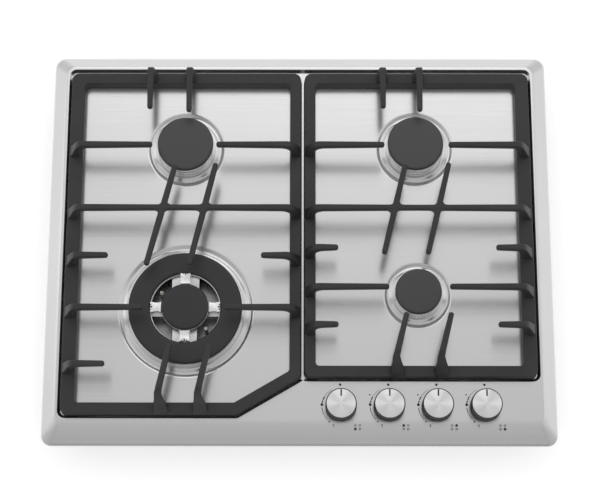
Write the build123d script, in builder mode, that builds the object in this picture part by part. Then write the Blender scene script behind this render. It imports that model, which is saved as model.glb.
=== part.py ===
from build123d import *
from math import atan2, cos, degrees, hypot, pi, radians, sin
import os

# Built-in gas cooktop, 60 cm class: a pressed steel panel with a sunk well, a steel
# base box under it, two cast pan supports, three plain burners and one triple-crown
# wok burner, and four push-and-turn gas taps with their knobs at the front right.
# Millimetres. X is the width, +Y the back, +Z up. X and Y start at the middle of the
# panel, and Z at the underside of the base box.

os.makedirs("parts", exist_ok=True)

# ------------------------------------------------------------------ the panel
panel_width = 600.0
panel_depth = 480.0
panel_corner = 12.5
sheet = 1.0
rim_z = 48.0  # underside of the folded hem
skirt_height = 3.5
border_rise = 6.5
border_shoulder = 4.6  # height of the border's curve halfway in
well_depth = 5.0
hem_width = 9.0
side_border = 19.2
rear_border = 17.2
front_border = 32.4
strip_depth = 76.0
crest_margin = 2.5
well_corner = 8.0
well_draft = 22.0
ramp_angle = 30.5
ramp_room = 120.2  # from the slanted side's foot to the first knob
seal_thickness = 3.0
seal_width = 7.0
seal_inset = 1.5

# ------------------------------------------------------------------ the burners
# Each burner has its own place, measured in from the panel's nearest edges.
rear_left_side = 162.8
rear_left_back = 118.8
rear_right_side = 161.3
rear_right_back = 118.0
front_right_side = 160.4
front_right_front = 179.7
wok_side = 165.9
wok_front = 160.8
rear_cap_radius = 33.4
small_cap_radius = 27.4
wok_cap_radius = 27.5
wok_ring_outer = 67.0
wok_ring_inner = 41.5
cap_thickness = 4.5
rear_cap_top = 24.0  # over the well's floor
small_cap_top = 21.5
wok_cap_top = 22.0
wok_ring_top = 16.5
rear_dish = 47.0
small_dish = 40.5
wok_dish = 81.0
dish_width = 8.5
dish_depth = 2.2
flange_lip = 1.1  # the cup's flange past its cap
flange_thickness = 2.5
cup_depth = 17.0
cup_wall = 2.5
crown_inset = 2.4  # the crown's wall inside the cap's edge
crown_wall = 5.0
crown_floor = 3.0
crown_throat = 9.0
rear_ports = 16
small_ports = 12
port_width = 3.0
port_depth = 3.0
lug_turn = 20.0
lug_thickness = 2.5
lug_width = 7.0
lug_height = 2.5
channel_wall = 2.5
arm_width = 34.0
arm_height = 7.0
key_width = 11.5
key_gap = 0.6
key_notch = 2.4
key_rise = 1.5
wok_ports = 18
inner_ports = 8

# probes and jets
probe_radius = 2.2
probe_inset = 1.8  # a probe's axis inside the crown's wall
probe_slot = 3.0
probe_room = 2.8
probe_sides = 8
round_sides = 32  # a casting that a lid or the panel covers
wok_sides = 36
electrode_angle = 200.0
thermocouple_angle = 320.0
wok_probe_ring = 34.6
wok_electrode_angle = 145.0
wok_thermocouple_angle = 315.0
electrode_foot = 31.0
ceramic_rise = 6.0
pin_rise = 10.5
pin_radius = 0.9
jet_radius = 4.0
jet_height = 6.0
holder_radius = 9.0
holder_depth = 14.0

# ------------------------------------------------------------------ the pan supports
side_gap = 4.0
rear_gap = 8.5
front_gap = 2.5
middle_gap = 3.4
middle_shift = 3.6  # the gap between the supports, right of the panel's middle
side_rail = 15.0
end_rail = 12.5
middle_rail = 13.2
ramp_rail = 12.5
rail_height = 13.0
rail_corner = 7.0
rail_inner_corner = 4.5
foot_pad = 2.5
pad_width = 8.0
pad_length = 14.0
pad_end_room = 14.0  # from a rail's end to the middle of its pad
pad_ramp_room = 56.0
finger_rise = 29.5  # finger tops over the rail tops
finger_width = 6.8
finger_depth = 8.5
finger_swell = 0.6
tip_length = 3.5
tip_drop = 1.6
tip_depth = 5.2
tip_width = 3.8
foot_depth = 10.5
foot_width = 13.0
foot_inset = 1.0
foot_sink = 1.0
shoulder_drop = 10.0
shoulder_depth = 9.0
shoulder_width = 9.5
shoulder_share = 0.72
shoulder_inset = 0.75
knee_drop = 2.4
knee_depth = 9.6
knee_out = 1.5
web_radius = 4.0
web_reach = 16.0
web_inset = 0.5  # inside the bars' sides
web_drop = 1.0  # under the bars' tops
side_lean = 10.0
back_lean = 5.0
front_lean = 19.0

# rows of fingers, each from the burner that it serves
rear_row_drop = 7.4
bar_shift = 14.7  # the cross bars, behind the middle between the left burners
left_short_drop = 58.1
right_short_drop = 48.5
wok_row_drop = 5.6
front_short_drop = 72.3
small_row_rise = 0.3
right_low_drop = 44.7
side_tip = 38.0
wok_side_tip = 47.0
small_side_tip = 35.2
short_reach = 52.0
middle_short_reach = 46.0
small_short_reach = 39.0
back_left_tip = 42.0
back_right_tip = 39.0
back_inner_tip = 4.8
back_outer_stop = 37.8
back_inner_stop = 33.8
wok_front_left = 25.4
wok_front_right = 20.3
small_front_left = 25.0
small_front_right = 26.7
front_kink = 2.8
front_slide = 9.8
wok_front_stop = 48.5
small_front_stop = 30.5

# the slanted bars' tips, from the burners at their ends
rear_left_near_tip = 10.3
rear_right_near_tip = 13.7
rear_far_tip = 38.0
near_tip_drop = 38.2
far_tip_drop = 33.4
wok_near_tip = 45.1
wok_far_tip = 5.1
wok_tip_rise = 44.4
small_near_tip = 40.9
small_far_tip = 10.4
small_tip_rise = 39.4

# ------------------------------------------------------------------ taps and knobs
knob_side = 83.8  # the last knob from the panel's right edge
knob_front = 46.0
knob_pitch = 56.0
knob_count = 4
knob_radius = 18.0
knob_height = 15.0
knob_lift = 4.0  # under the knob's skirt at rest
knob_push = 3.0
spindle_radius = 3.0
spindle_hole = 6.5
tap_z = 33.0
tap_width = 22.0
tap_height = 22.0
tap_floor = 3.0
neck_width = 12.0
neck_rise = 10.0
plug_radius = 5.5
plug_length = 9.0
tap_sides = 12
tongue_depth = 3.0
tongue_width = 2.0
tongue_inset = 0.6
switch_length = 26.0
switch_depth = 18.0
switch_height = 6.0

# ------------------------------------------------------------------ gas and mains
rail_pipe_radius = 7.0
rail_lead = 18.2  # the gas rail's blind end past the first tap
pipe_z = 27.0
inlet_side = 44.0
inlet_radius = 10.48
inlet_length = 20.0
collar_radius = 13.0
collar_length = 14.0
collar_proud = 1.0
supply_radius = 6.0
elbow_width = 18.0
outlet_z = 26.0
feed_radius = 3.0
feed_sides = 8
feed_run = 30.0
feed_detour = 19.0
gland_side = 100.0
gland_z = 25.0
gland_width = 18.0
gland_neck = 13.0
gland_lip = 2.5
gland_bore = 4.0
module_side = 85.0
module_back = 70.0
module_length = 62.0
module_depth = 38.0
module_height = 24.0

# ------------------------------------------------------------------ the base box
box_wall = 1.0
box_side_inset = 22.5
box_rear_inset = 22.0
box_front_inset = 15.0
box_corner = 6.0
vent_share = 0.7  # how far out the vents sit on each half of the box
vent_pitch = 18.0
vent_count = 4
vent_length = 70.0
vent_width = 6.0
clamp_share = 0.5
clamp_width = 22.0
clamp_sheet = 1.5
clamp_low = 4.0
clamp_high = 16.5
clamp_reach = 19.0
clamp_front_reach = 8.5
screw_head = 4.0
screw_height = 2.5

# clearances
running = 0.05  # radial, spindle in plug and plug in tap
loose = 0.5  # round a dropped-in piece in its seat, and over a pressed stem
cut_over = 1.0  # a cut's tool past the face that it opens

# ------------------------------------------------------------------ derived levels
edge_z = rim_z + skirt_height
crest_z = edge_z + border_rise
floor_z = crest_z - well_depth
floor_under = floor_z - sheet
rail_foot_z = floor_z + foot_pad
rail_z = rail_foot_z + rail_height
finger_z = rail_z + finger_rise
flange_z = floor_z + flange_thickness

# ------------------------------------------------------------------ derived places
half_width = panel_width / 2
half_depth = panel_depth / 2
well_left = side_border - half_width
well_right = half_width - side_border
well_back = half_depth - rear_border
well_front = front_border - half_depth
strip_back = strip_depth - half_depth
rear_left_x = rear_left_side - half_width
rear_left_y = half_depth - rear_left_back
rear_right_x = half_width - rear_right_side
rear_right_y = half_depth - rear_right_back
front_right_x = half_width - front_right_side
front_right_y = front_right_front - half_depth
wok_x = wok_side - half_width
wok_y = wok_front - half_depth
knob_y = knob_front - half_depth
knob_xs = [half_width - knob_side - knob_pitch * place for place in reversed(range(knob_count))]
ramp_foot_x = knob_xs[0] - ramp_room


def save(shape, name):
    shape.label = name
    export_step(shape, f"parts/{name}.step")


def turned(x, y, *profile):
    """A closed profile of (radius, height) points turned about an upright axis."""
    with BuildPart() as piece:
        with BuildSketch(Plane(origin=(x, y, 0), x_dir=(1, 0, 0), z_dir=(0, -1, 0))):
            with BuildLine():
                Polyline(*profile, close=True)
            make_face()
        revolve(axis=Axis((x, y, 0), (0, 0, 1)))
    return piece.part


def disc_of(x, y, radius, low, high):
    """A plain upright disc between two heights."""
    with BuildPart() as piece:
        with BuildSketch(Plane.XY.offset(low)):
            with Locations((x, y)):
                Circle(radius)
        extrude(amount=high - low)
    return piece.part


def many_sided(spots, radius, sides, low, high):
    """A prism between two heights at each spot."""
    with BuildPart() as prisms:
        with BuildSketch(Plane.XY.offset(low)):
            with Locations(spots):
                RegularPolygon(radius, sides)
        extrude(amount=high - low)
    return prisms.part


def block_of(x, y, length, depth, low, high, turn=0.0):
    """A plain upright block between two heights, turned about Z."""
    with BuildPart() as piece:
        with BuildSketch(Plane.XY.offset(low)):
            with Locations(Location((x, y), turn)):
                Rectangle(length, depth)
        extrude(amount=high - low)
    return piece.part


# ------------------------------------------------------------------ outlines in plan
def ramp_x(y, inset):
    """X on the slanted side at height y of the plan, moved into the well by inset."""
    angle = radians(ramp_angle)
    return ramp_foot_x + ((y - well_front) * cos(angle) - inset) / sin(angle)


def ramp_y(x, inset):
    angle = radians(ramp_angle)
    return well_front + ((x - ramp_foot_x) * sin(angle) + inset) / cos(angle)


def well_outline(z, grow):
    """The well's edge: it follows both pan supports and the slant between them."""
    left = well_left - grow
    right = well_right + grow
    back = well_back + grow
    front = well_front - grow
    strip = strip_back - grow
    corners = [
        (left, front),
        (ramp_x(front, -grow), front),
        (ramp_x(strip, -grow), strip),
        (right, strip),
        (right, back),
        (left, back),
    ]
    with BuildSketch(Plane.XY.offset(z)) as outline:
        with BuildLine():
            Polyline(*corners, close=True)
        make_face()
        fillet(outline.vertices(), well_corner + grow)
    return outline.sketch


def left_rail_outline(inset, end, middle, ramp, corner):
    """The left support's outline, moved in by a rail's width or by none."""
    left = well_left + side_gap + inset
    right = middle_shift - middle_gap / 2 - middle
    back = well_back - rear_gap - end
    front = well_front + front_gap + end
    slant = front_gap + ramp
    corners = [
        (left, front),
        (ramp_x(front, slant), front),
        (right, ramp_y(right, slant)),
        (right, back),
        (left, back),
    ]
    with BuildSketch(Plane.XY.offset(rail_foot_z)) as outline:
        with BuildLine():
            Polyline(*corners, close=True)
        make_face()
        fillet(outline.vertices(), corner)
    return outline.sketch


def right_rail_outline(inset, end, middle, corner):
    left = middle_shift + middle_gap / 2 + middle
    right = well_right - side_gap - inset
    back = well_back - rear_gap - end
    front = strip_back + front_gap + end
    with BuildSketch(Plane.XY.offset(rail_foot_z)) as outline:
        with Locations(((left + right) / 2, (front + back) / 2)):
            RectangleRounded(right - left, back - front, corner)
    return outline.sketch


# ------------------------------------------------------------------ burner sizes
def crown_of(cap_radius):
    return cap_radius - crown_inset


def hole_of(cap_radius):
    """The panel's hole: wide enough for the probes that stand beside the crown."""
    return crown_of(cap_radius) - probe_inset + probe_radius + loose


def cup_of(cap_radius):
    return crown_of(cap_radius) - probe_inset - probe_radius - 2 * loose


# ------------------------------------------------------------------ the top panel
def burner_dish(x, y, radius, drop):
    """The V groove pressed round a burner."""
    top = floor_z - drop + 0.01
    bottom = floor_z - drop - dish_depth
    return turned(x, y, (radius, top), (radius - dish_width / 2, bottom), (radius - dish_width, top))


def panel_form(drop):
    """The pressed shape as a solid. The sheet is this shape less the same one a
    sheet's thickness further in."""
    crest_left = well_left - crest_margin + drop
    crest_right = well_right + crest_margin - drop
    crest_back = well_back + crest_margin - drop
    crest_front = well_front - crest_margin + drop
    crest_width = crest_right - crest_left
    crest_depth = crest_back - crest_front
    crest_middle = (crest_back + crest_front) / 2
    width = panel_width - 2 * drop
    depth = panel_depth - 2 * drop
    with BuildPart() as form:
        with BuildSketch(Plane.XY.offset(rim_z + drop)):
            RectangleRounded(width, depth, panel_corner - drop)
        extrude(amount=skirt_height - drop)
        with BuildSketch(Plane.XY.offset(edge_z)):
            RectangleRounded(width, depth, panel_corner - drop)
        with BuildSketch(Plane.XY.offset(edge_z + border_shoulder - drop)):
            with Locations((0, crest_middle / 2)):
                RectangleRounded((width + crest_width) / 2, (depth + crest_depth) / 2, panel_corner)
        with BuildSketch(Plane.XY.offset(crest_z - drop)):
            with Locations((0, crest_middle)):
                RectangleRounded(crest_width, crest_depth, well_corner + crest_margin)
        loft(ruled=True)
        add(well_outline(crest_z - drop, drop))
        extrude(amount=-well_depth, taper=well_draft, mode=Mode.SUBTRACT)
        add(burner_dish(rear_left_x, rear_left_y, rear_dish, drop), mode=Mode.SUBTRACT)
        add(burner_dish(rear_right_x, rear_right_y, rear_dish, drop), mode=Mode.SUBTRACT)
        add(burner_dish(front_right_x, front_right_y, small_dish, drop), mode=Mode.SUBTRACT)
        add(burner_dish(wok_x, wok_y, wok_dish, drop), mode=Mode.SUBTRACT)
    return form.part


outer_form = panel_form(0.0)
inner_form = panel_form(sheet)
with BuildPart() as top_panel:
    add(outer_form)
    add(inner_form, mode=Mode.SUBTRACT)
    with BuildSketch(Plane.XY.offset(rim_z)):
        RectangleRounded(panel_width - 2 * hem_width, panel_depth - 2 * hem_width, panel_corner / 2)
    extrude(amount=sheet, mode=Mode.SUBTRACT)
    with BuildSketch(Plane.XY.offset(crest_z)):
        with Locations([(x, knob_y) for x in knob_xs]):
            RegularPolygon(spindle_hole, tap_sides)
        with Locations((rear_left_x, rear_left_y), (rear_right_x, rear_right_y)):
            RegularPolygon(hole_of(rear_cap_radius), round_sides)
        with Locations((front_right_x, front_right_y)):
            RegularPolygon(hole_of(small_cap_radius), round_sides)
        with Locations((wok_x, wok_y)):
            RegularPolygon(hole_of(wok_ring_outer), wok_sides)
    extrude(amount=-(crest_z - rim_z), mode=Mode.SUBTRACT)
save(top_panel.part, "top_panel")

# The foam strip between the folded hem and the worktop.
with BuildPart() as panel_seal:
    with BuildSketch(Plane.XY.offset(rim_z - seal_thickness)):
        RectangleRounded(panel_width - 2 * seal_inset, panel_depth - 2 * seal_inset, panel_corner)
        RectangleRounded(
            panel_width - 2 * (seal_inset + seal_width),
            panel_depth - 2 * (seal_inset + seal_width),
            panel_corner / 2,
            mode=Mode.SUBTRACT,
        )
    extrude(amount=seal_thickness)
save(panel_seal.part, "panel_seal")


# ------------------------------------------------------------------ pan supports
# One cast frame for each side. A finger's side view gives the same points whichever way
# it is made: its back from the foot over the shoulder and the knee to the tip, and its
# underside back again. A straight finger is that view, cut to the finger's plan. A
# finger that bends in plan is lofted through four-sided sections between the two lines.
def finger_stations(lean, reach, blunt):
    """Rows of back along, back height, underside along, underside height and width."""
    low = rail_z - foot_sink
    shoulder_out = lean * shoulder_share
    shoulder_in = shoulder_out + foot_depth - shoulder_inset
    shoulder_z = finger_z - shoulder_drop
    knee_z = finger_z - knee_drop
    over = lean + finger_depth  # where the finger's top is level
    end = reach if blunt else reach - tip_length
    end_under = finger_z - finger_depth + tip_drop
    knee_width = finger_width + finger_swell
    stations = [
        (0.0, low, foot_depth, low, foot_width),
        (shoulder_out, shoulder_z, shoulder_in, shoulder_z - shoulder_depth, shoulder_width),
        (lean + knee_out, knee_z, lean + foot_depth, knee_z - knee_depth, knee_width),
        (over, finger_z, over + foot_depth, finger_z - finger_depth, knee_width),
        (end, finger_z, end, end_under, finger_width),
    ]
    if not blunt:
        stations.append((reach, finger_z - tip_drop, reach, finger_z - tip_depth, tip_width))
    return stations


def straight_finger(foot, tip, lean, blunt=False):
    """A finger that keeps one direction in plan."""
    run = tip - foot
    stations = finger_stations(lean, run.length, blunt)
    backs = [(along, height) for along, height, _, _, _ in stations]
    unders = [(along, height) for _, _, along, height, _ in reversed(stations)]
    near = [((out + under) / 2, width / 2) for out, _, under, _, width in stations]
    near[0] = (0.0, foot_width / 2)
    far = [(along, -half) for along, half in reversed(near)]
    ahead = run.normalized()
    level = Plane(origin=(foot.X, foot.Y, 0), x_dir=ahead, z_dir=(0, 0, 1))
    upright = Plane(origin=(foot.X, foot.Y, 0), x_dir=ahead, z_dir=(ahead.Y, -ahead.X, 0))
    with BuildPart() as bar:
        with BuildSketch(upright):
            with BuildLine():
                Polyline(*backs, *unders, close=True)
            make_face()
        extrude(amount=foot_width / 2, both=True)
        with BuildSketch(level):
            with BuildLine():
                Polyline(*near, *far, close=True)
            make_face()
        extrude(amount=finger_z, mode=Mode.INTERSECT)
    return bar.part


def finger_section(outer, inner, width, side):
    """A section between the finger's back and its underside."""
    back = outer - inner
    plane = Plane(origin=(outer + inner) / 2, x_dir=side, z_dir=side.cross(back))
    with BuildSketch(plane) as section:
        Rectangle(width, back.length)
    return section.sketch


def bent_finger(foot, knee, tip):
    """A finger from its foot on the rail, over its knee, to its tip, in plan."""
    lean = (knee - foot).length
    reach = lean + (tip - knee).length

    def place(along, height):
        if along < lean:
            spot = foot + (knee - foot) * (along / lean)
        else:
            spot = knee + (tip - knee) * ((along - lean) / (reach - lean))
        return Vector(spot.X, spot.Y, height)

    with BuildPart() as bar:
        for along_out, high_out, along_in, high_in, width in finger_stations(lean, reach, False):
            heading = (knee - foot) if along_in <= lean else (tip - knee)
            if along_out < lean < along_in:
                heading = (knee - foot).normalized() + (tip - knee).normalized()
            side = Vector(heading.Y, -heading.X, 0).normalized()
            add(finger_section(place(along_out, high_out), place(along_in, high_in), width, side))
        loft(ruled=True)
    return bar.part


def side_finger(foot_x, row, tip_x, blunt=False):
    return straight_finger(Vector(foot_x, row), Vector(tip_x, row), side_lean, blunt)


def back_finger(x, tip_y):
    return straight_finger(Vector(x, back_foot), Vector(x, tip_y), back_lean)


def front_finger(foot_x, foot_y, tip_y):
    """A front finger leans one way up to its knee and the other way to its tip."""
    knee = Vector(foot_x - front_kink, foot_y + front_lean)
    return bent_finger(Vector(foot_x, foot_y), knee, Vector(foot_x + front_slide, tip_y))


def slanted_bar(start, stop):
    """A level bar with two tips, carried where it crosses the cross bar."""
    run = stop - start
    side = Vector(run.Y, -run.X, 0).normalized()
    level = finger_depth - tip_drop
    middle_width = finger_width + finger_swell
    stations = [
        (0.0, tip_drop, tip_depth, tip_width),
        (tip_length, 0.0, level, finger_width),
        (run.length / 2, 0.0, finger_depth, middle_width),
        (run.length - tip_length, 0.0, level, finger_width),
        (run.length, tip_drop, tip_depth, tip_width),
    ]
    with BuildPart() as bar:
        for along, drop, deep, width in stations:
            spot = start + run * (along / run.length)
            outer = Vector(spot.X, spot.Y, finger_z - drop)
            inner = Vector(spot.X, spot.Y, finger_z - deep)
            add(finger_section(outer, inner, width, side))
        loft(ruled=True)
    return bar.part


def crossing(x, y, run):
    """The web in the four corners where a slanted bar crosses."""
    heading = degrees(atan2(run.Y, run.X))
    low = finger_z - finger_depth + web_drop
    with BuildPart() as web:
        with BuildSketch(Plane.XY.offset(low)) as plan:
            with Locations((x, y)):
                Rectangle(2 * web_reach, finger_width - 2 * web_inset)
            with Locations(Location((x, y), heading)):
                Rectangle(2 * web_reach, finger_width - 2 * web_inset)
            corners = plan.vertices().sort_by_distance((x, y, low))[:4]
            chamfer(corners, web_radius)
        extrude(amount=finger_depth - 2 * web_drop)
    return web.part


def cross_at(start, stop, y):
    """Where a slanted bar meets a cross bar that runs along X at height y in plan."""
    return start.X + (stop.X - start.X) * (y - start.Y) / (stop.Y - start.Y)


def pan_support(outer, inner, fingers, slants):
    """A frame between two outlines, with its fingers and its slanted bars."""
    with BuildPart() as support:
        add(outer)
        extrude(amount=rail_height)
        add(inner)
        extrude(amount=rail_height, mode=Mode.SUBTRACT)
        add(fingers)
        for start, stop in slants:
            add(slanted_bar(start, stop))
            add(crossing(cross_at(start, stop, bar_row), bar_row, stop - start))
    return support.part


left_foot = well_left + side_gap + foot_inset
left_middle_foot = middle_shift - middle_gap / 2 - foot_inset
right_middle_foot = middle_shift + middle_gap / 2 + foot_inset
right_foot = well_right - side_gap - foot_inset
back_foot = well_back - rear_gap - foot_inset
left_front_foot = well_front + front_gap + foot_inset
right_front_foot = strip_back + front_gap + foot_inset

rear_row = rear_left_y - rear_row_drop
bar_row = (rear_left_y + wok_y) / 2 + bar_shift
left_short_row = bar_row - left_short_drop
right_short_row = bar_row - right_short_drop
wok_row = wok_y - wok_row_drop
front_short_row = wok_y - front_short_drop
small_row = front_right_y + small_row_rise
right_low_row = front_right_y - right_low_drop

# Plain tips stop short of the plain caps, and the wok burner's tips stand over its ring.
left_fingers = [
    side_finger(left_foot, rear_row, rear_left_x - side_tip),
    side_finger(left_middle_foot, rear_row, rear_left_x + side_tip),
    side_finger(left_foot, bar_row, rear_left_x, blunt=True),
    side_finger(left_middle_foot, bar_row, rear_left_x, blunt=True),
    side_finger(left_foot, left_short_row, left_foot + short_reach),
    side_finger(left_middle_foot, left_short_row, left_middle_foot - middle_short_reach),
    side_finger(left_foot, wok_row, wok_x - wok_side_tip),
    side_finger(left_middle_foot, wok_row, wok_x + wok_side_tip),
    side_finger(left_foot, front_short_row, left_foot + short_reach),
    back_finger(rear_left_x - back_left_tip, rear_left_y + back_outer_stop),
    back_finger(rear_left_x + back_inner_tip, rear_left_y + back_inner_stop),
    front_finger(wok_x - wok_front_left, left_front_foot, wok_y - wok_front_stop),
    front_finger(wok_x + wok_front_right, left_front_foot, wok_y - wok_front_stop),
]
left_slants = [
    (
        Vector(rear_left_x - rear_left_near_tip, rear_left_y - near_tip_drop),
        Vector(wok_x - wok_near_tip, wok_y + wok_tip_rise),
    ),
    (
        Vector(rear_left_x + rear_far_tip, rear_left_y - far_tip_drop),
        Vector(wok_x + wok_far_tip, wok_y + wok_tip_rise),
    ),
]
left_pan_support = pan_support(
    left_rail_outline(0.0, 0.0, 0.0, 0.0, rail_corner),
    left_rail_outline(side_rail, end_rail, middle_rail, ramp_rail, rail_inner_corner),
    left_fingers,
    left_slants,
)
save(left_pan_support, "left_pan_support")

right_fingers = [
    side_finger(right_middle_foot, rear_row, rear_right_x - side_tip),
    side_finger(right_foot, rear_row, rear_right_x + side_tip),
    side_finger(right_middle_foot, bar_row, rear_right_x, blunt=True),
    side_finger(right_foot, bar_row, rear_right_x, blunt=True),
    side_finger(right_middle_foot, right_short_row, right_middle_foot + small_short_reach),
    side_finger(right_foot, right_short_row, right_foot - middle_short_reach),
    side_finger(right_middle_foot, small_row, front_right_x - small_side_tip),
    side_finger(right_foot, small_row, front_right_x + small_side_tip),
    side_finger(right_middle_foot, right_low_row, right_middle_foot + small_short_reach),
    side_finger(right_foot, right_low_row, right_foot - middle_short_reach),
    back_finger(rear_right_x - back_right_tip, rear_right_y + back_outer_stop),
    back_finger(rear_right_x + back_inner_tip, rear_right_y + back_inner_stop),
    front_finger(front_right_x - small_front_left, right_front_foot, front_right_y - small_front_stop),
    front_finger(front_right_x + small_front_right, right_front_foot, front_right_y - small_front_stop),
]
right_slants = [
    (
        Vector(rear_right_x - rear_right_near_tip, rear_right_y - near_tip_drop),
        Vector(front_right_x - small_near_tip, front_right_y + small_tip_rise),
    ),
    (
        Vector(rear_right_x + rear_far_tip, rear_right_y - far_tip_drop),
        Vector(front_right_x + small_far_tip, front_right_y + small_tip_rise),
    ),
]
right_pan_support = pan_support(
    right_rail_outline(0.0, 0.0, 0.0, rail_corner),
    right_rail_outline(side_rail, end_rail, middle_rail, rail_inner_corner),
    right_fingers,
    right_slants,
)
save(right_pan_support, "right_pan_support")


def support_pads(*spots):
    """Rubber pads between a frame and the well's floor."""
    with BuildPart() as pads:
        with BuildSketch(Plane.XY.offset(floor_z)):
            with Locations(spots):
                Rectangle(pad_width, pad_length)
        extrude(amount=foot_pad)
    return pads.part


left_pads_x = well_left + side_gap + side_rail / 2
middle_left_x = middle_shift - middle_gap / 2 - middle_rail / 2
middle_right_x = middle_shift + middle_gap / 2 + middle_rail / 2
right_pads_x = well_right - side_gap - side_rail / 2
pads_back = well_back - rear_gap - pad_end_room
pads_left_front = well_front + front_gap + pad_end_room
pads_right_front = strip_back + front_gap + pad_end_room
save(
    support_pads(
        (left_pads_x, pads_back),
        (middle_left_x, pads_back),
        (left_pads_x, pads_left_front),
        (middle_left_x, pads_left_front + pad_ramp_room),
        (left_pads_x, bar_row),
        (middle_left_x, bar_row),
    ),
    "left_support_pads",
)
save(
    support_pads(
        (middle_right_x, pads_back),
        (right_pads_x, pads_back),
        (middle_right_x, pads_right_front),
        (right_pads_x, pads_right_front),
    ),
    "right_support_pads",
)


# ------------------------------------------------------------------ burner cups
def polar_point(x, y, radius, angle):
    return (x + radius * cos(radians(angle)), y + radius * sin(radians(angle)))


def probe_cut(x, y, radius, angle, low, high, out=0.0):
    """The room round a probe, open outwards by out."""
    spot = polar_point(x, y, radius + out, angle)
    return block_of(*spot, 2 * (out + probe_room), 2 * probe_room, low, high, angle)


def burner_cup(x, y, body, cap_radius, sides):
    """A die-cast body: it hangs in the panel's hole by its flange."""
    low = floor_z - cup_depth
    with BuildPart() as cup:
        add(many_sided([(x, y)], body, sides, low, floor_z))
        add(many_sided([(x, y)], cap_radius + flange_lip, sides, floor_z, flange_z))
        bore = many_sided([(x, y)], body - cup_wall, sides, low + cup_wall, flange_z)
        add(bore, mode=Mode.SUBTRACT)
    return cup.part


plain_burners = [
    (rear_left_x, rear_left_y, rear_cap_radius),
    (rear_right_x, rear_right_y, rear_cap_radius),
    (front_right_x, front_right_y, small_cap_radius),
]
burner_axes = [(wok_x, wok_y)] + [(x, y) for x, y, radius in plain_burners]
cup_low = floor_z - cup_depth
with BuildPart() as burner_cups:
    for x, y, cap_radius in plain_burners:
        add(burner_cup(x, y, cup_of(cap_radius), cap_radius, round_sides))
        for angle in (electrode_angle, thermocouple_angle):
            probe_ring = crown_of(cap_radius) - probe_inset
            notch = probe_cut(x, y, probe_ring, angle, floor_z - cut_over, flange_z + cut_over)
            add(notch, mode=Mode.SUBTRACT)
    add(burner_cup(wok_x, wok_y, cup_of(wok_ring_outer), wok_ring_outer, wok_sides))
    for angle in (wok_electrode_angle, wok_thermocouple_angle):
        well = (cup_low - cut_over, cup_low + cup_wall + cut_over)
        add(probe_cut(wok_x, wok_y, wok_probe_ring, angle, *well), mode=Mode.SUBTRACT)
save(burner_cups.part, "burner_cups")


# ------------------------------------------------------------------ plain burners
def lug_ring(cap_radius):
    return crown_of(cap_radius) - crown_wall - loose - lug_thickness / 2


def plain_crown(x, y, cap_radius, high, ports):
    """The flame spreader: lugs in the cup, a floor with a throat, a wall and its slots."""
    wall = crown_of(cap_radius)
    with BuildPart() as crown:
        add(many_sided([(x, y)], wall, round_sides, flange_z, high))
        room = many_sided([(x, y)], wall - crown_wall, round_sides, flange_z + crown_floor, high)
        add(room, mode=Mode.SUBTRACT)
        add(many_sided([(x, y)], crown_throat, 6, flange_z, high), mode=Mode.SUBTRACT)
        with BuildSketch(Plane.XY.offset(flange_z)):
            with Locations((x, y)):
                with PolarLocations(cup_of(cap_radius) - cup_wall - loose - lug_thickness / 2, 3):
                    Rectangle(lug_thickness, lug_width)
        extrude(amount=-lug_height)
        with BuildSketch(Plane.XY.offset(high)):
            with Locations((x, y)):
                with PolarLocations(wall - crown_wall / 2, ports, start_angle=180 / ports):
                    Rectangle(crown_wall + 4 * cut_over, port_width)
        extrude(amount=-port_depth, mode=Mode.SUBTRACT)
        for angle in (electrode_angle, thermocouple_angle):
            ends = (flange_z - cut_over, high + cut_over)
            add(probe_cut(x, y, wall - probe_inset, angle, *ends, probe_slot), mode=Mode.SUBTRACT)
    return crown.part


def plain_cap(x, y, radius, high):
    """The enamelled lid, with three lugs that keep it in the middle of the crown."""
    low = high - cap_thickness
    with BuildPart() as cap:
        add(disc_of(x, y, radius, low, high))
        with BuildSketch(Plane.XY.offset(low)):
            with Locations((x, y)):
                with PolarLocations(lug_ring(radius), 3, start_angle=lug_turn):
                    Rectangle(lug_thickness, lug_width)
        extrude(amount=-lug_height)
    return cap.part


def save_plain_burner(place, x, y, cap_radius, cap_high, ports):
    save(plain_crown(x, y, cap_radius, cap_high - cap_thickness, ports), f"{place}_crown")
    save(plain_cap(x, y, cap_radius, cap_high), f"{place}_cap")


rear_high = floor_z + rear_cap_top
small_high = floor_z + small_cap_top
save_plain_burner("rear_left", rear_left_x, rear_left_y, rear_cap_radius, rear_high, rear_ports)
save_plain_burner("rear_right", rear_right_x, rear_right_y, rear_cap_radius, rear_high, rear_ports)
save_plain_burner("front_right", front_right_x, front_right_y, small_cap_radius, small_high, small_ports)

# ------------------------------------------------------------------ the wok burner
# One casting carries three rings of flame: the inner crown's, and the outer channel's
# inner and outer walls. Four arms feed the channel from the middle, and a key on each
# arm holds the ring lid and the inner lid apart.
ring_under = floor_z + wok_ring_top - cap_thickness
inner_under = floor_z + wok_cap_top - cap_thickness
wok_wall = crown_of(wok_ring_outer)
wok_inner_wall = wok_ring_inner + crown_inset
inner_wall = crown_of(wok_cap_radius)
channel_floor = flange_z + crown_floor
arm_middle = (inner_wall + wok_inner_wall) / 2
arm_length = wok_inner_wall - inner_wall + channel_wall


def ring_wall(outer, inner, low, high):
    """An upright ring about the wok burner's axis."""
    with BuildPart() as ring:
        with BuildSketch(Plane.XY.offset(low)):
            with Locations((wok_x, wok_y)):
                RegularPolygon(outer, wok_sides)
                RegularPolygon(inner, wok_sides, mode=Mode.SUBTRACT)
        extrude(amount=high - low)
    return ring.part


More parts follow.
